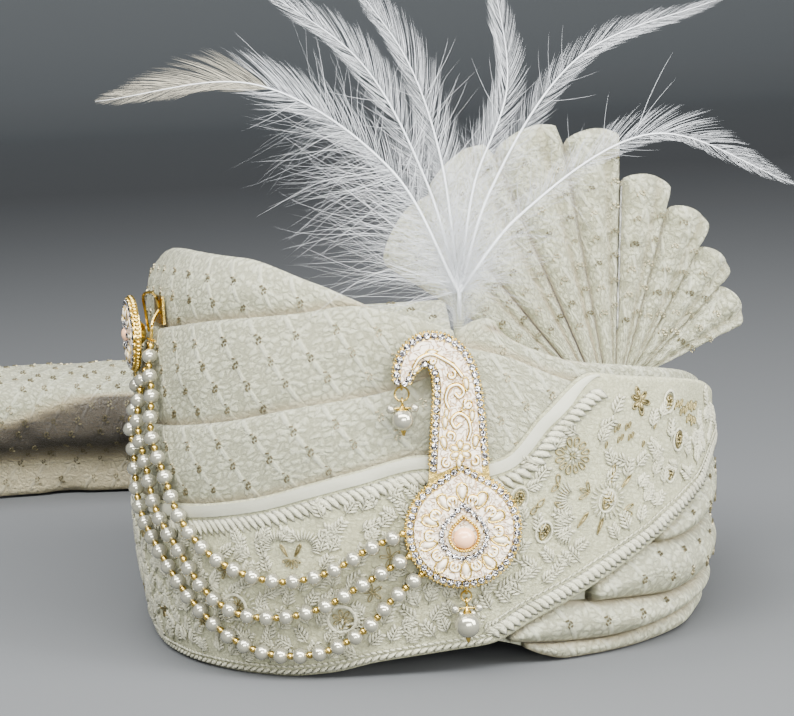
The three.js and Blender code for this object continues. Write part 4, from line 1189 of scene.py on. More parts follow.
def ribbon(name, edge, start, end, inset, width):
    share = np.linspace(0, 1, RIBBON_ROWS)
    narrow = np.clip((end - np.arange(start, end, 1.0)) / RIBBON_TAPER, 0.1, 1) ** 0.7
    rows = [run_beside(edge, start, end, inset + width * across * narrow)[:2] for across in share]
    s, z = (np.stack(lines, 1) for lines in zip(*rows))
    lift = 0.35 + 0.2 * np.sin(np.pi * share)[None, :]
    face, back = on_panel(s, z, lift + 0.1), on_panel(s, z, 0.05)
    uv = grid_uv(np.arange(len(s))[:, None], np.linspace(0, width, RIBBON_ROWS)[None, :])
    piece = cloth_wall(name, face, back, uv, SATIN)
    piece.data.set_sharp_from_angle(angle=math.radians(35))
    return dress(piece)


def chain(name, edge, start, end, inset, pitch, slant, size, shape=STITCH):
    s, z, rise = run_beside(edge, start, end, inset)
    run = np.concatenate([[0], np.cumsum(np.hypot(np.diff(s), np.diff(z)))])
    even = np.arange(0, run[-1], pitch)
    s, z, rise = (np.interp(even, run, v) for v in (s, z, rise))
    phi = at_girt(s)
    turn = np.degrees(np.arctan(rise)) + slant
    p, along, away = on_cloth(phi, z, panel_out(phi, z) + 0.25, turn)
    set_in_place(name, shape, p, along, away, np.array(size) * MM, COTTON, 0.08)


START, END = float(girt(-179)), float(girt(96.5))
TURN_UP = float(girt(5))
TUCKED = float(girt(25.5))
top_ribbon = ribbon("top_ribbon", PANEL_TOP, START, TUCKED, 0.5, BORDER["ribbon"])
chain("leaf_border", PANEL_TOP, START, TUCKED - 7, 5.6, 2.9, BORDER["leaf_slant"],
      (BORDER["leaf"], 3.5, 0.85), BENT_STITCH)
chain("rope_border", PANEL_LOW, TURN_UP, END, -7.6, 2.5, BORDER["rope_slant"],
      (BORDER["rope"], 4.0, 0.7), BENT_STITCH)
chain("rope_inner_cord", PANEL_LOW, TURN_UP, END, -8.4, 2.4, 12, (3.4, 1.0, 0.6))
chain("rim_cord", PANEL_LOW, START, TURN_UP, -1.0, 3.0, 26, (5.2, 2.0, 1.3))
chain("rim_inner_cord", PANEL_LOW, START, TURN_UP, -4.6, 2.4, -14, (3.2, 1.1, 0.9))

# %% [markdown]
# ## Flowers of the band
#
# Between the borders lie white sprays and motifs in gold thread. A motif is a few loops and bars round a
# centre, so each kind is a small function that adds its stitches to a list, and the plan below places the
# kinds. Round the gold parts the real cloth has short white rays, which make them read as flowers.

# %% Kinds of motif
class Embroidery:
    """Lists of stitches on the band: length, height, turn, long and wide, in millimetres and degrees."""

    def __init__(self):
        self.gold_loops, self.gold_bars, self.white, self.cords = [], [], [], []

    def petals(self, s, z, count, inner, long, wide, first=0.0, sweep=360.0, into=None):
        rows = self.gold_loops if into is None else into
        for k in range(count):
            a = first + sweep * k / count
            right, up = compass(a)
            rows.append((s + inner * right, z + inner * up, a, long, wide))

    def oval(self, s, z, long=6.0, wide=4.6, turn=70.0):
        (right, up), back = compass(turn), long / 2
        for rows, grow in ((self.gold_loops, 1.0), (self.cords, 1.42)):
            rows.append((s - back * grow * right, z - back * grow * up, turn, long * grow, wide * grow))
        self.petals(s, z, 5, 0.2, long * 0.36, wide * 0.3, turn, into=self.gold_bars)

    def bar(self, s, z, long, turn):
        right, up = compass(turn)
        start = s - long / 2 * right, z - long / 2 * up
        self.gold_loops.append((*start, turn, long, 1.9))
        self.gold_bars.append((*start, turn, long * 0.96, 0.9))

    def rays(self, s, z, inner, long, first, sweep, count):
        self.petals(s, z, count, inner, long, 0.95, first, sweep, into=self.white)

    def ring_flower(self, s, z):
        self.petals(s, z, 12, 3.5, 3.4, 2.5, 10)
        self.petals(s, z, 12, 1.2, 2.4, 0.7, 25, into=self.white)
        self.petals(s, z, 4, 0.2, 1.5, 0.8, 45, into=self.gold_bars)

    def star_flower(self, s, z):
        self.oval(s, z, 6.6, 5.2, 62)
        for da, dz, long, turn in ((2.2, 9.6, 7.0, 72), (8.3, 6.1, 6.6, 45), (-3.1, -9.1, 7.0, 68),
                                   (-10.1, -5.9, 7.0, 50)):
            self.bar(s + da, z + dz, long, turn)
        for da, dz, turn in ((-7.4, 3.6, 150), (6.6, -4.7, -30)):
            self.petals(s + da, z + dz, 3, 0.4, 4.2, 1.7, turn - 50, 150)
        self.rays(s - 13, z + 2, 2.5, 5.6, 110, 150, 13)
        self.rays(s - 15, z - 8, 2.5, 5.6, 120, 150, 13)
        self.rays(s, z, 4.6, 3.2, 0, 360, 22)

    def fan_flower(self, s, z):
        self.bar(s - 2.8, z + 3.4, 5.4, 118)
        self.bar(s + 2.8, z + 3.4, 5.4, 62)
        self.petals(s, z, 5, 0.8, 3.0, 1.3, 200, 170)
        self.rays(s - 4.5, z + 4, 2.6, 5.0, 50, 150, 12)
        self.rays(s + 5.0, z + 4, 2.6, 5.0, -20, 150, 12)

    def rosette(self, s, z):
        self.petals(s, z, 7, 0.8, 3.2, 1.9, 0)
        self.cords.append((s - 5.6, z, 0, 11.2, 10.8))
        self.rays(s, z, 5.8, 2.8, 0, 360, 26)

    def bits(self, s, z, count=3, turn=70.0):
        for k in range(count):
            self.gold_loops.append((s + 1.6 * (k - count / 2), z + 0.7 * (k % 2), turn, 2.6, 1.2))

    def spray(self, s, z, long, turn, leaves=4):
        """White stem with leaves on both sides."""
        right, up = compass(turn)
        self.white.append((s, z, turn, long, 0.9))
        for k in range(leaves):
            d = long * (0.18 + 0.74 * k / leaves)
            for side in (-1, 1):
                self.white.append((s + right * d, z + up * d, turn + side * 42, 4.6 - 0.5 * k, 1.55))


# %% Plan of the band
SIX_PETALS = [(100, 5.6), (150, 4.6), (215, 4.8), (275, 5.6), (340, 5.4), (35, 4.6)]
STEM_LEAVES = [(29.2, 62.2, 230), (32.0, 64.6, 225), (35.0, 67.0, 40), (37.6, 69.6, 85), (38.4, 65.4, 20),
               (36.0, 62.8, -35)]
BITS = [(57.2, 80.9, 1), (62.2, 86.2, 2), (67.2, 86.4, 2), (63.4, 82.2, 2), (68.4, 82.4, 2), (74.1, 79.0, 1),
        (80.2, 85.0, 1), (94.5, 90.6, 4), (98.4, 87.6, 4), (102.6, 88.6, 4), (107.4, 87.6, 4),
        (105.8, 82.4, 3), (102, 84, 3)]
FAN_FLOWERS = [(-60, 47), (-150, 47), (-226, 30), (-300, 30)]
ROSETTES = [(-42.5, 23.8), (-84, 27), (-120, 33), (-172, 26), (-205, 40), (-262, 24), (-322, 26)]
SMALL_FLOWERS = [(-88, 41), (-104, 20), (-31, 34), (-24, 47), (-135, 18), (-188, 16), (-243, 38), (-285, 22),
                 (-345, 34)]
SPRAYS = {"across": 5.8, "up": 6.6, "clear": 4.6, "low": 6, "low_right": 12, "top": 15, "top_right": 11}
work = Embroidery()
work.ring_flower(43.5, 79.5)
work.star_flower(56.7, 61.3)
for s, z in ((31.6, 52.4), (22.9, 65.7), (93.1, 78.7), (89.1, 67.1), (88.4, 94.0)):
    work.oval(s, z)
for turn, long in SIX_PETALS:
    work.gold_loops.append((73.2, 96.6, turn, long, 2.6))
    work.gold_bars.append((73.2, 96.6, turn, long * 0.9, 1.8))
for s, z, turn in STEM_LEAVES:
    work.gold_loops.append((s, z, turn, 3.6, 2.3))
for s, z, count in BITS:
    work.bits(s, z, count)
for s, z in FAN_FLOWERS:
    work.fan_flower(s, z)
for s, z in ROSETTES:
    work.rosette(s, z)
for s, z in SMALL_FLOWERS:
    work.petals(s, z, 5, 0.5, 3.4, 1.6, 30)
rng = np.random.default_rng(11)
for s in np.arange(START + 12, END - 4, SPRAYS["across"]):
    phi = float(at_girt(s))
    low = float(PANEL_LOW(phi)) + (SPRAYS["low_right"] if s > TURN_UP else SPRAYS["low"])
    high = float(PANEL_TOP(phi)) - (SPRAYS["top_right"] if s > TUCKED + 8 else SPRAYS["top"])
    for z in np.arange(low, high, SPRAYS["up"]):
        near = min((math.hypot(s - row[0], z + 3 - row[1]) for row in work.gold_loops), default=99)
        if near > SPRAYS["clear"]:
            place = s + rng.uniform(-2, 2), z + rng.uniform(-1.5, 1.5)
            work.spray(*place, rng.uniform(7, 10), rng.uniform(20, 80) + 80 * (rng.random() < 0.35))
print("gold loops", len(work.gold_loops), "white stitches", len(work.white))

# %% Stitch the plan
def stitch_all(name, rows, shape, material, lift, high):
    s, z, turn, long, wide = np.array(rows).T
    phi = at_girt(s)
    p, along, away = on_cloth(phi, z, panel_out(phi, z) + lift, turn)
    size = np.stack([long, wide, np.full_like(long, high)], 1) * MM
    set_in_place(name, shape, p, along, away, size, material, 0.12)


stitch_all("white_sprays", work.white, BENT_STITCH, COTTON, 0.15, 1.2)
stitch_all("white_rims", work.cords, FINE_RIM, COTTON, 0.3, 7.0)
stitch_all("gold_loops", work.gold_loops, DROP_LOOP, ZARI, 0.35, 3.2)
stitch_all("gold_bars", work.gold_bars, STITCH, ZARI, 0.3, 1.2)

# %% [markdown]
# ## Strings of pearls
#
# A strung pearl touches its seed bead, so both are spaced along one curve by length. Every string starts
# at the clip of the side brooch and ends behind the main brooch. The curve is a Catmull-Rom spline through
# a few places on the cloth, which keeps the string on the surface that carries it.

# %% Strings
STRINGS = [
    {"name": "pearl_strand_upper", "pearls": 21, "thread": 0.6, "run": [
        (-60.2, 122, 9.8), (-59, 114), (-57, 105), (-55, 90), (-51, 74), (-47, 60), (-41, 48), (-34, 41),
        (-27, 39), (-20, 43), (-14, 51), (-8.6, 56.2)]},
    {"name": "pearl_strand_middle", "pearls": 23, "thread": 11, "run": [
        (-62.2, 122, 8.6), (-62.6, 116, 8.6), (-62.4, 107), (-61, 92), (-58, 76), (-54, 60), (-48, 47),
        (-43, 34), (-37, 26), (-29, 25), (-22, 29), (-15, 38), (-7.8, 47.6)]},
    {"name": "pearl_strand_lower", "pearls": 26, "thread": 24, "run": [
        (-64.2, 122, 8.4), (-65, 111, 8), (-65.2, 103, 8.4), (-65.2, 92), (-64.6, 80), (-62, 60), (-54, 44),
        (-45, 26), (-37, 14), (-30, 10), (-22, 12), (-15, 21), (-11, 31), (-6, 40.6)]},
]
BEAD = {"pearl": 3.2, "seed": 1.4, "thread": 0.5, "clear": 0.45}
PEARL_OVAL = np.array([0.94, 1, 1])


def cloth_face(phi, z):
    """How far the left wraps stand out at an angle and height."""
    far = 0.0
    for wrap in TIERS + [{**PANEL, "top": PANEL_TOP, "foot": PANEL_LOW, "puff": 0}]:
        foot = wrap["low"](phi) if "low" in wrap else wrap["foot"](phi)
        if wrap["from"] < phi < wrap["to"] and foot - CLOTH["tuck"] < z < wrap["top"](phi) + BEAD["pearl"]:
            far = max(far, CLOTH["gap"] + wrap["layer"] * LAYER + CLOTH["thick"] + wrap["puff"])
    return far


def hermite(t, start, end, leave, arrive):
    """Smooth step between two points that leaves and arrives along given ways."""
    ends = (1 + 2 * t) * (1 - t) ** 2 * start + t * (1 - t) ** 2 * leave
    return ends + t * t * (3 - 2 * t) * end + t * t * (t - 1) * arrive


def traced(points, per=60):
    """A centripetal Catmull-Rom curve with the same number of points in every stretch."""
    points = np.asarray(points, float)
    points = np.concatenate([[2 * points[0] - points[1]], points, [2 * points[-1] - points[-2]]])
    gap = np.maximum(np.linalg.norm(np.diff(points, axis=0), axis=1) ** 0.5, 1e-4)
    t, out = np.linspace(0, 1, per, endpoint=False)[:, None], []
    for k in range(1, len(points) - 2):
        a, b, c, d = points[k - 1:k + 3]
        g0, g1, g2 = gap[k - 1:k + 2]
        from_b = ((b - a) / g0 - (c - a) / (g0 + g1) + (c - b) / g1) * g1
        into_c = ((c - b) / g1 - (d - b) / (g1 + g2) + (d - c) / g2) * g1
        out.append(hermite(t, b, c, from_b, into_c))
    return np.concatenate(out + [points[-2:-1]])


def read_along(line, run, places):
    """Points of a line at given lengths along it."""
    return np.stack([np.interp(places, run, line[:, k]) for k in range(line.shape[1])], 1)


def spline(points, step):
    """Points on that curve, by a spacing or by shares of its length, with its directions and its length."""
    line = traced(points)
    run = lengths(line)
    if np.isscalar(step):
        even = np.linspace(0, run[-1], max(2, int(round(run[-1] / step)) + 1))
    else:
        even = np.asarray(step) * run[-1]
    ahead = read_along(line, run, even + 1e-5) - read_along(line, run, even - 1e-5)
    return read_along(line, run, even), unit(ahead), run[-1]


def tube(name, lines, material, sides=6, node=None):
    """Round wires joined in one mesh; each line is its points and its radius in metres."""
    verts, faces = [], []
    turns = np.linspace(0, 2 * math.pi, sides, endpoint=False)
    for line, radius in lines:
        line = np.asarray(line, float)
        way = unit(np.gradient(line, axis=0))
        side = unit(np.cross(way, (0.03, 1.0, 0.02)))
        over, first = np.cross(side, way), len(verts)
        for p, a, b, r in zip(line, side, over, np.broadcast_to(radius, len(line))):
            verts += [tuple(p + r * (a * math.cos(t) + b * math.sin(t))) for t in turns]
        for i in range(len(line) - 1):
            a, b = first + i * sides, first + (i + 1) * sides
            faces += [(a + j, a + (j + 1) % sides, b + (j + 1) % sides, b + j) for j in range(sides)]
        faces += [tuple(range(first, first + sides)), tuple(range(len(verts) - sides, len(verts)))]
    return dress(link(name, shape_mesh(name, verts, faces), material), node)


def build_string(row):
    clear = BEAD["clear"] + BEAD["pearl"]
    points = [around(p[0], p[1], p[2] if len(p) > 2 else cloth_face(p[0], p[1]) + clear) for p in row["run"]]
    line, _, long = spline(points, 0.002)
    lead, count = row["thread"] * MM / long, row["pearls"]
    middles, gaps = (np.arange(count) + 0.5) / count, np.arange(count + 1) / count
    pearls = "_pearls", middles, BEAD["pearl"] * PEARL_OVAL, BALL, PEARL, "pearl", row["name"]
    seeds = "_seeds", gaps, BEAD["seed"], SMALL_BALL, GOLD, "gold", None
    for kind, shares, size, shape, finish, slot, node in (pearls, seeds):
        place, way, _ = spline(points, lead + (1 - lead) * shares)
        away = place - np.array([HUB.x, HUB.y, 0]) * [1, 1, 0] - place * [0, 0, 1]
        set_in_place(row["name"] + kind, shape, place, way, away, size * MM, finish, 0.03, node)
    tube(row["name"] + "_thread", [(line, BEAD["thread"] * MM)], GOLD, node=row["name"])
    print(row["name"], "is", round(long / MM), "mm long")


for row in STRINGS:
    build_string(row)

# %% [markdown]
# ## Main brooch
#
# The brooch is a stamped gold plate with peach enamel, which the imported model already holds. What makes it
# look like a jewel is added here: a row of foiled stones in cups along both outlines, a rim of tiny gold
# grains, cream almonds outlined in gold, and curled gold lines on the hook. All of it is laid out flat, in
# millimetres from the medallion's centre, and stood up in the plate's own tilted plane.

# %% The plate's plane and the gem shape
BROOCH = {"centre": (2, -132.4, 56), "tilt": 1.2, "front": 1.8, "relief": 3.15, "low": -1.8}
HOOK = [(-0.7, 16, 11.4), (-0.2, 30, 10.4), (0.2, 42, 9.6), (0.2, 52, 8.7), (-1.2, 60, 8.0),
        (-5.0, 65.3, 7.2), (-10.3, 67.0, 6.4), (-15.2, 64.8, 5.4), (-18.4, 60.3, 4.3), (-19.8, 55.6, 3.2)]
LEAN = math.radians(BROOCH["tilt"])
RIGHT = np.array((1.0, 0, 0))
RISE = np.array((0, math.sin(LEAN), math.cos(LEAN)))
FRONTWARD = np.array((0, -math.cos(LEAN), math.sin(LEAN)))


def mm_point(x, y, z):
    return np.array(HUB) + np.stack(np.broadcast_arrays(x, y, z), -1) * MM


def on_brooch(x, y, lift):
    x, y, lift = (np.asarray(v, float)[..., None] for v in (x, y, lift))
    return mm_point(*BROOCH["centre"]) + (x * RIGHT + y * RISE + lift * FRONTWARD) * MM


def way_on_brooch(turn):
    turn = np.radians(np.asarray(turn, float))[..., None]
    return np.cos(turn) * RIGHT + np.sin(turn) * RISE


def circle_points(radius, sides, z, turn=0.0):
    """Corners of a level ring, turned by a share of its own step."""
    turns = [2 * math.pi * (i + turn) / sides for i in range(sides)]
    return [(radius * math.cos(a), radius * math.sin(a), z) for a in turns]


def gem_shape(sides=8):
    """Cut stone of radius 1 with a flat table, its culet hidden in the cup."""
    rings = [(0.9, -0.1, 0), (1.0, 0.3, 0), (0.58, 0.75, 0.5)]
    verts = [p for r, z, turn in rings for p in circle_points(r, sides, z, turn)]
    faces = [tuple(range(sides - 1, -1, -1)), tuple(range(2 * sides, 3 * sides))]
    for i in range(sides):
        j = (i + 1) % sides
        a, b, c, d = sides + i, sides + j, 2 * sides + i, 2 * sides + j
        faces += [(i, j, b, a), (a, b, c), (b, d, c)]
    return shape_mesh("gem", verts, faces, smooth=False)


def cup_shape(sides=12):
    """Thin collar with a rounded lip round a stone of radius 1."""
    rings = [(1.22, -0.4), (1.22, 0.25), (1.1, 0.42), (0.96, 0.25), (0.96, -0.4)]
    verts = [p for r, z in rings for p in circle_points(r, sides, z)]
    faces = []
    for k in range(len(rings)):
        for i in range(sides):
            a, b, j = k * sides, (k + 1) % len(rings) * sides, (i + 1) % sides
            faces.append((a + i, a + j, b + j, b + i))
    return shape_mesh("cup", verts, faces)


GEM, CUP = gem_shape(), cup_shape()


def even_along(line, pitch, closed=False):
    line = np.asarray(line, float)
    run = lengths(line)
    count = int(round(run[-1] / pitch))
    return read_along(line, run, np.linspace(0, run[-1], count + 1)[:count if closed else count + 1])


def teardrop(radius, point, low=0.0):
    """Circle drawn up to a point on top, as a closed line."""
    half = math.acos(radius / point)
    angles = np.linspace(math.pi / 2 + half, 2.5 * math.pi - half, 90)
    line = [(0, point)] + [(radius * math.cos(a), radius * math.sin(a)) for a in angles] + [(0, point)]
    return np.array(line) + (0, low)


def jewel(name, shape, spots, lift, size, material, turn=0.0, uneven=0.0, node=None):
    spots = np.asarray(spots, float)
    p = on_brooch(spots[:, 0], spots[:, 1], lift)
    way = way_on_brooch(np.broadcast_to(turn, len(spots)))
    return set_in_place(name, shape, p, way, FRONTWARD, np.asarray(size) * MM, material, uneven, node)


# %% Stones, grains and the centre
RELIEF, LOW_CENTRE = BROOCH["relief"], BROOCH["low"]
hook = traced(HOOK, 8)
hook_way = unit(np.gradient(hook[:, :2], axis=0))
hook_side = np.stack([-hook_way[:, 1], hook_way[:, 0]], 1)


def hook_edge(inset, low):
    """The hook's outline inside its edge, up one side, round the tip and down the other."""
    left, right = (hook[:, :2] + sign * hook_side * (hook[:, 2:] - inset) for sign in (1, -1))
    line = np.concatenate([right, left[::-1]])
    return line[line[:, 1] > low]


stones = np.concatenate([even_along(teardrop(19.7, 23.2), 2.85, True),
                         even_along(hook_edge(1.35, 22.9), 2.75),
                         even_along(teardrop(8.3, 11.4, LOW_CENTRE), 2.6, True)])
stones = stones[[np.linalg.norm(stones[:k] - q, axis=1).min(initial=9) > 2.2 for k, q in enumerate(stones)]]
inner = np.hypot(stones[:, 0], stones[:, 1] - LOW_CENTRE) < 13.5
lift = np.where(inner, RELIEF - 0.1, BROOCH["front"] + 0.25)
turns = np.arange(len(stones)) * 17
jewel("brooch_stones", GEM, stones, lift, (1.42, 1.42, 1.45), CRYSTAL, turns, 0.05)
jewel("brooch_stone_cups", CUP, stones, lift - 0.3, (1.18, 1.18, 1.0), GOLD)
grains = np.concatenate([even_along(teardrop(21.35, 25.2), 1.55, True), even_along(hook_edge(-0.1, 24), 1.5)])
jewel("brooch_edge_grains", SMALL_BALL, grains, 0.9, (0.6, 0.6, 0.9), GOLD)
bezel = even_along(teardrop(5.5, 7.5, LOW_CENTRE), 1.05, True)
jewel("brooch_bezel_grains", SMALL_BALL, bezel, RELIEF + 0.9, (0.62, 0.62, 0.7), GOLD)
rim = np.array([on_brooch(*q, RELIEF + 0.4) for q in teardrop(5.3, 7.2, LOW_CENTRE)[::3]])
tube("brooch_bezel", [(rim, 0.62 * MM)], GOLD, 8, "brooch_stone")
jewel("brooch_centre_stone", BALL, [(0.0, -2.6)], RELIEF - 0.2, (4.1, 4.1, 2.9), PEACH,
      node="brooch_stone")
print("stones in the brooch:", len(stones))

# %% Enamel fields
def field(name, outline, low, high, material, node):
    """A flat slab with the given outline in the plate's plane."""
    outline = np.asarray(outline)
    if np.allclose(outline[0], outline[-1]):
        outline = outline[:-1]
    count = len(outline)
    verts = np.concatenate([on_brooch(outline[:, 0], outline[:, 1], lift) for lift in (low, high)])
    faces = [tuple(range(count)), tuple(range(count, 2 * count))]
    faces += [(k, (k + 1) % count, count + (k + 1) % count, count + k) for k in range(count)]
    return dress(link(name, shape_mesh(name, verts.tolist(), faces, smooth=False), material), node)


FIELD_LOW = 1.9
field("medallion_enamel", teardrop(18.2, 21.6), FIELD_LOW, RELIEF, ENAMEL, "brooch_medallion_enamel")
field("hook_enamel", np.concatenate([hook_edge(2.75, 20.4), [(0, 24.9)]]), FIELD_LOW, RELIEF - 0.1, ENAMEL,
      "brooch_hook_enamel")

# %% Cream almonds and curled lines
ALMONDS = [(0, 14.4), (-6.8, 11.0), (6.8, 11.0), (-12.2, 4.4), (12.2, 4.4), (-13.2, -4.2), (13.2, -4.2),
           (-8.6, -11.8), (8.6, -11.8), (0, -14.4)]
LEAVES = [(-5.4, 30.6, 100, 4.6, 2.4), (5.4, 30.4, 80, 4.6, 2.4), (1.4, 44.6, 40, 4.4, 2.4),
          (-5.2, 38.0, 85, 4.6, 2.2), (-0.6, 23.4, 90, 3.6, 2.2), (4.8, 40.0, 85, 4.2, 2.0),
          (3.6, 51.6, 95, 4.6, 2.2), (-6.6, 66.4, 185, 4.0, 2.2), (-4.6, 42.0, 80, 3.4, 1.8),
          (-13.4, 61.4, 225, 3.4, 1.8)]
S_LINE = [(3.0, 33.4), (4.2, 37.0), (3.2, 41.4), (0.2, 43.4), (-2.6, 41.0), (-1.2, 38.2), (1.0, 39.6)]
TOP_LINE = [(-3.4, 45.4), (-4.4, 49.0), (-2.6, 53.2), (0.6, 53.8), (2.4, 51.0), (0.6, 49.2), (-1.0, 50.8)]
END_LINE = [(2.2, 56.6), (-0.6, 60.6), (-4.6, 63.6), (-9.0, 65.6), (-13.2, 64.2), (-15.6, 60.8)]
HOOK_CURLS = [(-3.4, 35.4, 1.9, -60, 280), (4.0, 46.4, 1.9, 120, 280), (-2.0, 57.6, 1.8, 60, -280),
              (-5.0, 25.4, 1.9, 100, 280), (5.0, 25.4, 1.9, 80, -280), (-8.6, 63.0, 1.2, 30, -260)]
CURL_END, LARGE = 0.25, 3.2


def curl(x, y, radius, first, sweep):
    t = np.linspace(0, 1, 16)
    a, r = np.radians(first + sweep * t), radius * (1 - (1 - CURL_END) * t)
    return np.stack([x + r * np.cos(a), y + r * np.sin(a)], 1)


rows, lines = [], []
for x, y in ALMONDS:
    a = math.degrees(math.atan2(y - LOW_CENTRE, x))
    right, up = compass(a)
    rows.append((x - 3.0 * right, y - 3.0 * up, a, 6.0, 4.0))
for k in range(10):
    a = 90 + 36 * (k + 0.5)
    ray = np.array(compass(a))
    cx, cy = ray * 13.0 + (0, -0.9)
    lines += [curl(cx, cy, 2.0, a + 150, -250), curl(cx, cy, 2.0, a - 150, 250)]
    rows.append((*(ray * 10.2 + (0, -1.6)), a, 2.6, 1.7))
for a in range(6, 360, 12):
    right, up = compass(a)
    rows.append((16.0 * right, 16.0 * up, a, 1.9, 1.7))
for a in range(30, 360, 60):
    right, up = compass(a)
    rows.append((0.1 + 0.7 * right, 29.4 + 0.7 * up, a, 3.3, 2.5))
lines += [traced(row, 8) for row in (S_LINE, TOP_LINE, END_LINE)] + [curl(*row) for row in HOOK_CURLS]
rows = np.array(rows + LEAVES)
x, y, turn, long, wide = rows.T
almond = np.stack([long, wide * 0.92, wide * 0 + 1.3], 1)
jewel("brooch_almonds", STITCH, rows[:, :2], RELIEF - 0.1, almond, CREAM, turn)
x, y, turn, long, wide = rows[long > LARGE].T
back = 0.05 * long
starts = np.stack([x - back * np.cos(np.radians(turn)), y - back * np.sin(np.radians(turn))], 1)
outline = np.stack([long * 1.1, wide * 1.3, wide * 0 + 2.2], 1)
jewel("brooch_almond_outlines", FINE_LOOP, starts, RELIEF + 0.02, outline, GOLD, turn)
for name, lift, wire, finish in (("brooch_curls", 0.2, 0.55, CREAM), ("brooch_curl_edges", -0.1, 0.85, GOLD)):
    wires = [(on_brooch(line[:, 0], line[:, 1], RELIEF + lift), wire * MM) for line in lines]
    tube(name, wires, finish)

# %% [markdown]
# ## Pearl drops
#
# Each drop hangs from a jump ring that stays as packed. Its pearl is a smooth ball between a flared cap
# and a gold tip, with a little pearl on an arm at each side.

# %% Pearl drops
DROPS = [{"name": "upper_drop", "x": -20, "y": 54.5, "ring": 2.6, "pearl": 4.2, "sink": 6.6},
         {"name": "lower_drop", "x": 0, "y": -22.2, "ring": 1.9, "pearl": 5.0, "sink": 8.6}]


def circle(centre, radius, first, second):
    """A round loop drawn by two directions at right angles."""
    a = np.linspace(0, 2 * math.pi, 21)[:, None]
    return np.asarray(centre) + radius * (np.cos(a) * np.asarray(first) + np.sin(a) * np.asarray(second))


CAP = np.linspace(0, 1, 7)
SIDE_PEARLS = [(-4.4, -2.6, 1.7), (4.4, -2.6, 1.7), (-2.2, -4.6, 1.25), (2.2, -4.6, 1.25)]


def build_drop(row):
    x, middle = row["x"], 0.9
    loop = row["y"] - 0.4 - row["ring"] - row["ring"] - 0.2
    pearl, big = loop - row["sink"], row["pearl"]

    def spots(*places):
        return np.array([on_brooch(x + dx, y, middle) for dx, y in places])

    places = [(x, pearl)] + [(x + dx, loop + dy) for dx, dy, _ in SIDE_PEARLS]
    sizes = [(big,) * 3] + [(small,) * 3 for _, _, small in SIDE_PEARLS]
    jewel(row["name"] + "_balls", BALL, places, middle, sizes, PEARL,
          node=row["name"] + "_pearls")
    flare = spots(*((0, pearl + big + 1.3 - 2.2 * v) for v in CAP))
    tip = spots(*((0, pearl - big + 0.7 - 2.4 * v) for v in CAP))
    wires = [(circle(spots((0, loop))[0], 1.3 * MM, RISE, FRONTWARD), 0.4 * MM),
             (spots((0, loop - 1), (0, pearl)), 0.45 * MM),
             (spots((-4.0, loop - 2.6), (0, loop - 2.3), (4.0, loop - 2.6)), 0.4 * MM),
             (flare, (0.5 + 2.0 * CAP ** 1.5) * MM), (tip, (1.7 - 1.3 * CAP ** 0.6) * MM)]
    tube(row["name"] + "_fittings", wires, GOLD, 12)


for row in DROPS:
    build_drop(row)

# %% [markdown]
# ## Side brooch
#
# A smaller round brooch faces left, with the same stones round a flower of almonds. It is laid out the
# same way in its own plane.

# %% Side brooch
SIDE = {"phi": -67, "z": 125, "out": 13.4, "radius": 14.2, "turn": 8}
SEAT = around(SIDE["phi"], SIDE["z"], SIDE["out"])
LEFTWARD = -np.array((*compass(SIDE["turn"]), 0))
ACROSS, UPWARD = np.array((-LEFTWARD[1], LEFTWARD[0], 0)), np.array((0, 0, 1.0))
SIDE_ROWS = [
    ("side_stones", GEM, 12.7, 26, 1.35, (1.25, 1.25, 1.35), CRYSTAL, "stone"),
    ("side_stone_cups", CUP, 12.7, 26, 1.35, (1.25, 1.25, 1.4), GOLD, "gold"),
    ("side_edge_grains", SMALL_BALL, 14.3, 54, 0.0, (0.8, 0.8, 1.1), GOLD, "gold"),
    ("side_inner_stones", GEM, 4.6, 9, 2.6, (1.2, 1.2, 1.2), CRYSTAL, "stone"),
    ("side_almonds", STITCH, 6.2, 10, 2.45, (4.4, 2.6, 1.0), CREAM, "enamel"),
    ("side_almond_outlines", FINE_LOOP, 6.0, 10, 2.6, (4.9, 3.2, 2.4), GOLD, "gold"),
    ("side_centre_stone", BALL, 0.0, 1, 2.3, (3.0, 3.0, 2.2), PEACH, "stone"),
]


def side_jewel(name, shape, radius, count, lift, size, material, slot):
    """Copies of a shape on a circle of the side brooch, each turned outwards."""
    a = np.radians(np.arange(count) * 360 / count)[:, None]
    ray = np.cos(a) * ACROSS + np.sin(a) * UPWARD
    places = SEAT + (ray * radius + LEFTWARD * lift) * MM
    set_in_place(name, shape, places, ray, LEFTWARD, np.array(size) * MM, material)


def under_side(drop):
    """A place under the side brooch's rim, by its drop in millimetres."""
    return SEAT + np.array((0, 0, -SIDE["radius"])) * MM - np.array((0, 0, drop)) * MM


for row in SIDE_ROWS:
    side_jewel(*row)
set_in_place("side_drop_ball", BALL, [under_side(6.3)], UPWARD, LEFTWARD, 2.8 * MM, PEARL,
             node="side_drop_pearl")
tube("side_drop_fittings", [(circle(under_side(2.45), 1.2 * MM, ACROSS, UPWARD), 0.35 * MM)], GOLD)

# %% [markdown]
# ## Pleated fan
#
# The fan is one length of the same brocade, pleated and gathered at its foot. Each pleat is a broad rib
# with a narrower roll beside it, and its free end is rounded. It is drawn as a polar grid: angle decides
# the pleat, distance from the gathered root decides how deep it has opened.

# %% Fan
FAN = {"root": (76, -40, 99), "inner": 5, "thick": 2.4, "pleat": 6.8, "lean": 6, "steps": 16, "rows": 60,
       "foot": (19, -5), "broad": 0.72, "round": 2.2}
FAN_RIBS = [(153, 134, 104), (134, 116, 105), (116, 99, 101), (99, 84, 95), (84, 67, 78), (67, 50, 71),
            (50, 33, 63), (33, 13, 58)]
FAN_STARS = [(0.36, 26, 3, 4), (0.86, 30, 2, 8)]


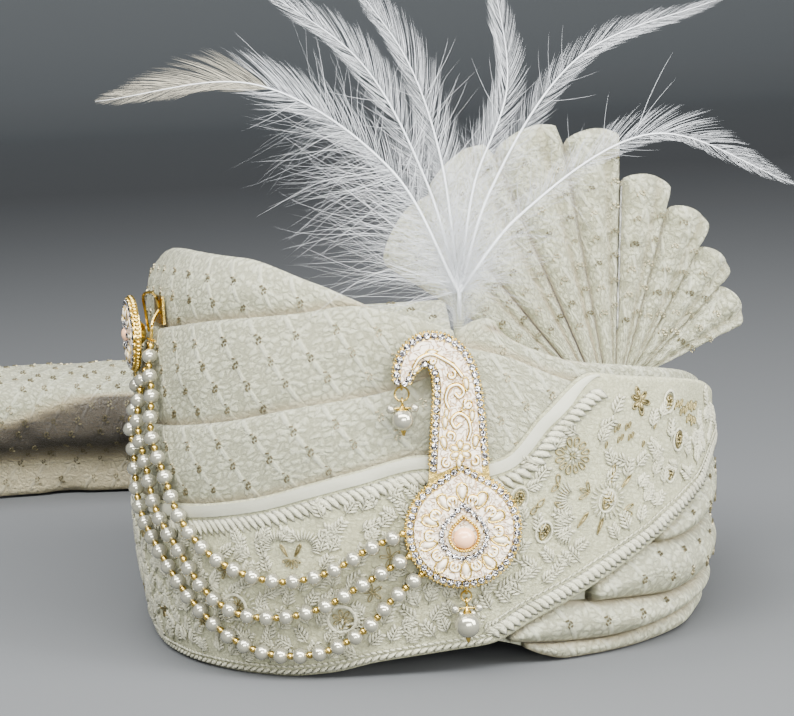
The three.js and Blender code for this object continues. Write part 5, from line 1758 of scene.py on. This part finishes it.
def fan_point(k, s, share, side):
    """A point on pleat k: s across the pleat, share of the way out, side 1 in front and -1 behind."""
    start, end, reach = (np.asarray(FAN_RIBS, float)[k, i] for i in range(3))
    s, share, part = np.asarray(s, float), np.asarray(share, float), FAN["broad"]
    broad, narrow = np.clip(s / part, 0, 1), np.clip((s - part) / (1 - part), 0, 1)
    hump = np.where(s < part, np.sin(np.pi * broad) ** 0.62, 0.7 * np.sin(np.pi * narrow) ** 0.62)
    angle = np.radians(start + (end - start) * s)
    full = reach - 5.0 * (1 - np.sin(np.pi * np.clip(s, 0, 1)) ** 0.5)
    r = FAN["inner"] + (full - FAN["inner"]) * share
    crease = 0.5 * np.sin(r * 0.42 + k * 2.1 + 2.5 * s) * share + 0.35 * np.sin(r * 0.9 - 5 * s + k)
    rim = np.clip((r - full + FAN["round"]) / FAN["round"], 0, 1)
    round_off = np.sqrt(np.clip(1 - rim ** 2, 0.02, 1))
    depth = FAN["pleat"] * (0.22 + 0.78 * share) * (hump - 0.5) + crease + side * FAN["thick"] / 2 * round_off
    foot = np.cos(angle) * np.where(angle > math.pi / 2, FAN["foot"][0], 10) * (1 - share)
    rise = (full * np.sin(angle) - FAN["foot"][1]) * share + FAN["foot"][1]
    x, y, z = FAN["root"]
    flat = x + full * np.cos(angle) * share + foot
    return mm_point(flat, y - depth + rise * math.tan(math.radians(FAN["lean"])), z + rise), r, hump


def build_fan():
    k = np.repeat(np.arange(len(FAN_RIBS)), FAN["steps"])
    s = np.tile(np.linspace(0, 1, FAN["steps"], endpoint=False), len(FAN_RIBS))
    k, s = np.append(k, len(FAN_RIBS) - 1)[:, None], np.append(s, 1.0)[:, None]
    share = np.linspace(0, 1, FAN["rows"])[None, :]
    face, r, hump = fan_point(k, s, share, 1)
    back = fan_point(k, s, share, -1)[0]
    u = lengths(face[:, -1])[:, None] / MM * 0.9
    # Painted shade in the grooves between pleats, stronger towards the gathered foot of the first three
    # pleats, where it becomes painted dark shadow.
    foot_shade = np.where(k < 3, 2.4, 0.9) * np.clip(1 - share * 1.5, 0, 1)
    fold = np.clip(1 - hump * 1.8, 0, 1) * (0.75 + foot_shade)
    piece = cloth_wall("fan_cloth", face, back, grid_uv(u, r), BROCADE, fold=fold)
    dress(piece, "fan")


def trim_fan():
    """Stars on both rolls of every pleat, the gathered root and one silver cord."""
    spots = [(i, across, d) for across, first, step, last in FAN_STARS for i, row in enumerate(FAN_RIBS)
             for d in np.arange(first + step * (i % 2), row[2] - last, 9.0)]
    i, across, d = (np.array(v) for v in zip(*spots))
    out = (d - FAN["inner"]) / (np.array([row[2] for row in FAN_RIBS], float)[i] - FAN["inner"])
    place = fan_point(i, across, out, 1)[0]
    ahead = fan_point(i, across, out + 0.01, 1)[0] - place
    level = fan_point(i, across - 0.01, out, 1)[0] - place
    away = np.cross(ahead, level)
    away = unit(away * -np.sign(away[:, 1:2]))
    set_in_place("fan_stars", STAR, place + away * 0.1 * MM, ahead, away, 2.5 * MM, SEQUIN, 0.25)
    x, y, z = FAN["root"]
    set_in_place("fan_root", BALL, [mm_point(x, y, z - 5)], (1, 0, 0), (0, 0, 1), np.array((10, 5, 5)) * MM,
                 PLAIN, node="fan")
    groove = fan_point(np.full(60, 4), np.full(60, 0.02), np.linspace(0.25, 0.97, 60), 1)[0]
    tube("fan_silver_cord", [(groove + np.array((0, -0.6, 0)) * MM, 0.55 * MM)], SILVER)


build_fan()
trim_fan()

# %% [markdown]
# ## Plume
#
# A feather is a quill with hundreds of barbs on each side, thin enough that the wall shows between them. A
# solid vane would look like card, so each barb is its own thin ribbon, set along the quill by the same
# geometry nodes as the stitches. The angle closes and the length falls towards the tip. Downy barbs at the
# foot grow longer and point every way.

# %% Barbs
PLUME = {"root": (9, -96, 131), "stem": 113.4, "high": 28.2}
FEATHERS = [
    {"via": (-14, -92, 186), "bend": (-62, -90, 220), "tip": (-122, -88, 217),
     "lower": 9, "upper": 12, "ivory": True},
    {"via": (0, -84, 180), "bend": (-22, -78, 226), "tip": (-58, -74, 256), "lower": 9, "upper": 10},
    {"via": (6, -80, 190), "bend": (-4, -72, 226), "tip": (-24, -66, 258), "lower": 8, "upper": 11},
    {"via": (18, -84, 178), "bend": (33, -78, 214), "tip": (30, -72, 259), "lower": 10, "upper": 8},
    {"via": (24, -86, 176), "bend": (60, -84, 224), "tip": (118, -80, 244), "lower": 7, "upper": 8},
    {"via": (34, -90, 166), "bend": (86, -90, 194), "tip": (140, -90, 172), "lower": 10, "upper": 7},
]


def barb_shape(wide, bend, waves=0.0, steps=5):
    """A hair-thin ribbon one unit long along X, three-sided and tapered, bending to its tip."""
    verts, faces = [], []
    for k in range(steps):
        t = k / steps
        y = bend * t * t + waves * math.sin(9 * t)
        w = wide * (1 - 0.75 * t)
        verts += [(t, y - w, 0), (t, y, w * 0.5), (t, y + w, 0)]
    verts.append((1, bend + waves * math.sin(9), 0))
    for k in range(steps - 1):
        a, b = 3 * k, 3 * k + 3
        faces += [(a + j, b + j, b + (j + 1) % 3, a + (j + 1) % 3) for j in range(3)]
    last = len(verts) - 1
    faces += [(last - 3 + j, last, last - 3 + (j + 1) % 3) for j in range(3)] + [(0, 1, 2)]
    return shape_mesh("barb", verts, faces)


BARBS = {1: barb_shape(0.0036, 0.13), -1: barb_shape(0.0036, -0.13)}
WISPS = [barb_shape(0.0019, 0.3, 0.012, 7), barb_shape(0.0019, -0.3, 0.015, 7)]
BARB_SHARE = 0.62
WHITE_ENDS = [(0, 1.01, FEATHER, "")]
IVORY_ENDS = [(0, 0.62, FEATHER, ""), (0.62, 1.01, IVORY_TIP, "_tip")]


def build_feather(number, row, rng):
    root = np.array(PLUME["root"], float) + (0, 0, 8)
    points = [mm_point(*root), *(mm_point(*row[key]) for key in ("via", "bend", "tip"))]
    line, way, long = spline(points, 0.0003)
    count, t = len(line), np.linspace(0, 1, len(line))
    side = unit(np.cross(way, (0, 1.0, 0)))
    away = np.cross(side, way)
    shape = np.sin(np.pi * np.minimum(1, t * 0.95 + 0.05)) ** 0.75 * np.where(t < 0.3, 0.4 + 2.0 * t, 1)
    for sign, key in ((1, "lower"), (-1, "upper")):
        keep = (t > 0.08 + 0.05 * rng.random(count)) & (rng.random(count) < BARB_SHARE)
        clump = np.interp(t, np.linspace(0, 1, 90), rng.normal(0, 1, 90))
        angle = np.radians(44 - 27 * t + 2.5 * clump + rng.normal(0, 1.8, count))
        reach = np.maximum(row[key] * shape, 1.2 * (1 - t)) / np.sin(angle)
        reach = reach * (1 + 0.05 * clump + rng.normal(0, 0.06, count))
        loose = (rng.random(count) < 0.13 * (1 - t)) & (t < 0.6)
        reach = np.minimum(reach, (1 - t) * long / MM * 0.8 + 1.5)
        reach = np.where(loose, reach * rng.uniform(1.1, 1.5, count), reach)
        deep = rng.normal(0, 0.10, count) + 0.08 * clump + loose * rng.normal(0, 0.25, count)
        angle = angle + loose * rng.uniform(0.0, 0.6, count)
        along = way * np.cos(angle)[:, None] + sign * side * np.sin(angle)[:, None] + away * deep[:, None]
        for low, high, finish, part in IVORY_ENDS if row.get("ivory") else WHITE_ENDS:
            pick = keep & (t >= low) & (t < high)
            size = reach[pick, None] * MM * np.ones(3)
            set_in_place(f"feather_{number}_{key}{part}", BARBS[sign], line[pick], along[pick], away[pick],
                         size, finish, 0.1, "plume")
    foot = mm_point(*(np.array(PLUME["root"], float) + (0, 3, -4)))
    quill = np.concatenate([[foot], line[:-1:8], line[-1:]])
    thin = np.interp(np.linspace(0, 1, len(quill)), (0, 0.1, 0.6, 1), (0.9, 0.62, 0.32, 0.07)) * MM
    return quill, thin, line, way, side, away


class Down:
    """Places, directions, sides and lengths of downy barbs, gathered before they are set."""

    def __init__(self):
        self.rows = [[], [], [], []]

    def add(self, *columns):
        for row, column in zip(self.rows, columns):
            row.append(column)

    def along_feather(self, rng, first, line, way, side, away):
        """Loose barbs near a feather's foot; the first feather has more, longer and mostly below it."""
        count = 460 if first else 300
        t = rng.random(count) ** 1.4 * (0.5 if first else 0.38)
        k = (t * (len(line) - 1)).astype(int)
        chance = (0.2, 0.8) if first else (0.5, 0.5)
        spread = np.radians(rng.uniform(30, 78, count)) * rng.choice((-1, 1), count, p=chance)
        deep = rng.normal(0, 0.35, count)[:, None]
        along = way[k] * np.cos(spread)[:, None] + side[k] * np.sin(spread)[:, None] + away[k] * deep
        across = np.cross(along, rng.normal(0, 1, (count, 3)))
        sweep = ((62 if first else 38) - 40 * t) * rng.uniform(0.4, 1.15, count)
        self.add(line[k], unit(along), across, sweep)

    def round_foot(self, rng, count=1500):
        """Short down on every side of the plume's foot."""
        x, y, z = PLUME["root"]
        foot = mm_point(x, y + 1, z - 5)
        turn, tall = rng.uniform(0, 6.283, count), rng.uniform(0.15, 1.0, count)
        ca, sa, lean = np.cos(turn), np.sin(turn), 1 - tall * 0.6
        along = np.stack([ca * lean, 0.75 * sa * lean, tall + 0.1], 1)
        places = foot + np.stack([1.8 * ca, 1.4 * sa, 36 * rng.random(count) ** 1.2], 1) * MM
        self.add(places, unit(along), rng.normal(0, 1, (count, 3)), rng.uniform(8, 24, count))


def build_plume():
    rng, quills, down = np.random.default_rng(23), [], Down()
    for number, row in enumerate(FEATHERS, 1):
        quill, thin, *frame_along = build_feather(number, row, rng)
        quills.append((quill, thin))
        down.along_feather(rng, number == 1, *frame_along)
    down.round_foot(rng)
    places, ways, sides, longs = (np.concatenate(row) for row in down.rows)
    for half, shape in enumerate(WISPS):
        pick = slice(half, None, 2)
        size = longs[pick, None] * MM * np.ones(3)
        set_in_place(f"down_{half + 1}", shape, places[pick], ways[pick], sides[pick], size, FEATHER,
                     0.2, "plume")
    tube("feather_quills", quills, FEATHER)
    x, y = PLUME["root"][0], PLUME["root"][1] + 4
    stem = np.array([mm_point(x, y, PLUME["stem"] + v) for v in np.linspace(0, PLUME["high"], 90)])
    wound = (2.2 + 0.22 * np.sin(np.arange(90) * 1.9)) * MM
    tube("plume_stem", [(stem, wound)], SATIN, 10)


build_plume()

# %% [markdown]
# ## Free end
#
# The cloth's free end leaves under the crown's back edge as a flat strap, runs down to the table and lies
# behind the turban as a loosely folded bundle. Its cross-section changes on the way, from flat to folded,
# so the two lines are blended by how far the cloth is gathered at each place.

# %% Free end of the cloth
TAIL = {"strap": 56, "thick": 2.4, "margin": 3}
TAIL_PATH = [(0, 97, 96.8, 0), (0, 109, 104.6, 0), (0, 119.5, 108.4, 0), (0, 127, 97, 0), (0, 130.4, 80, 0),
             (0, 131.8, 62, 0), (0, 131.9, 42, 0), (-1, 136, 18, 0.05), (-6, 160, 2, 0.3),
             (-16, 210, 0.4, 0.75), (-46, 272, 0.4, 0.95), (-106, 306, 0.4, 1), (-160, 314, 0.4, 1),
             (-214, 312, 0.4, 1)]
TAIL_BUNDLE = [(-22, 0), (-25, 20), (-42, 34), (-41, 54), (-16, 63), (16, 60), (40, 42), (45, 10), (30, 2),
               (2, 4), (-12, 16), (-2, 36), (20, 34)]
SHADE_EDGE = (-185, -112), (45, 62)


def tail_shade(path, share, b):
    """Painted shade marks: painted dark shadow on the turned underside, whose edge falls towards the free
    end, and painted shade in the inner folds.
    """
    edge = np.interp(path[:, 0], *SHADE_EDGE)[:, None]
    under = np.clip((edge - b) / 3.5, 0, 2) * (0.5 + 0.5 * np.clip((b - 17) / 10, 0, 1))
    return np.where(share < 0.24, under, np.clip(0.6 - b / 60, 0, 0.6))


def build_tail():
    per, across, thick, margin = 12, 6, TAIL["thick"], TAIL["margin"]
    path = traced([p[:3] for p in TAIL_PATH], per)
    gathered = [p[3] for p in TAIL_PATH]
    gather = np.interp(np.arange(len(path)) / per, np.arange(len(TAIL_PATH)), gathered)[:, None]
    way = unit(np.gradient(path, axis=0))
    flat = np.hypot(way[:, 0], way[:, 1]) > 0.5
    side = unit(np.where(flat[:, None], np.stack([way[:, 1], -way[:, 0], 0 * way[:, 0]], 1), (1.0, 0, 0)))
    rise = np.cross(side, way)
    bundle = traced(TAIL_BUNDLE, across)
    share = np.linspace(0, 1, len(bundle))[None, :]
    strap = TAIL["strap"] * (share - 0.5)
    a = strap + (bundle[None, :, 0] - strap) * gather
    b = bundle[None, :, 1] * gather
    da, db = np.gradient(a, axis=1), np.gradient(b, axis=1)
    norm = np.hypot(da, db) + 1e-9
    na, nb = -db / norm, da / norm
    run, long = lengths(path), lengths(bundle)
    soft = np.minimum(ripple(run[:, None], long[None, :], 5, 2.4) * np.clip(gather * 1.4 - 0.2, 0, 1), 0)

    def place(off):
        lift = np.where(gather > 0.02, np.maximum(0, b + nb * off + thick / 2), off + thick / 2)
        flat_place = path[:, None] + side[:, None] * (a + na * off)[..., None]
        return np.array(HUB) + (flat_place + rise[:, None] * lift[..., None]) * MM

    face, back = place(thick / 2 + soft), place(-thick / 2 + soft)
    fold = tail_shade(path, share, b) * gather
    across_mm = long[None, :] * gather + TAIL["strap"] * share * (1 - gather)
    piece = cloth_wall("tail_cloth", face, back, grid_uv(run[:, None], across_mm), BROCADE, fold=fold)
    dress(piece, "tail")
    along, level = face[1:, :-1] - face[:-1, :-1], face[:-1, 1:] - face[:-1, :-1]
    turn = run[np.argmax(gather[:, 0] > 0.4)]
    on_strap = np.stack(grid_spots((margin, turn), (margin, TAIL["strap"] - margin)))
    on_bundle = np.stack(grid_spots((turn, run[-1] - margin), (margin, long[-1] - margin)))
    u, v = np.concatenate([on_strap * [[1], [long[-1] / TAIL["strap"]]], on_bundle], 1)
    inside = (v > margin) & (v < long[-1] - margin)
    i = np.interp(u[inside], run, np.arange(len(run))).round().astype(int).clip(1, len(run) - 2)
    j = np.interp(v[inside], long, np.arange(len(long))).round().astype(int).clip(1, len(long) - 2)
    ahead, level = face[i + 1, j] - face[i - 1, j], face[i, j + 1] - face[i, j - 1]
    away = unit(np.cross(ahead, level))
    away *= np.sign((away * (face[i, j] - back[i, j])).sum(1, keepdims=True))
    set_in_place("tail_stars", STAR, face[i, j] + away * 0.1 * MM, ahead, away, STAR_SIZE * MM, SEQUIN,
                 STAR_UNEVEN)


build_tail()

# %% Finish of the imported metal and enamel
WEARS = {"brooch_plate": GOLD, "brooch_pin": STEEL, "upper_drop_ring": GOLD, "lower_drop_ring": GOLD,
         "side_brooch_plate": GOLD, "side_brooch_enamel": ENAMEL, "side_brooch_clip": GOLD}
for node, material in WEARS.items():
    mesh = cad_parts[node].data
    mesh.materials.clear()
    mesh.materials.append(material)
print("still showing:", [n for n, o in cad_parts.items() if not o.hide_render])
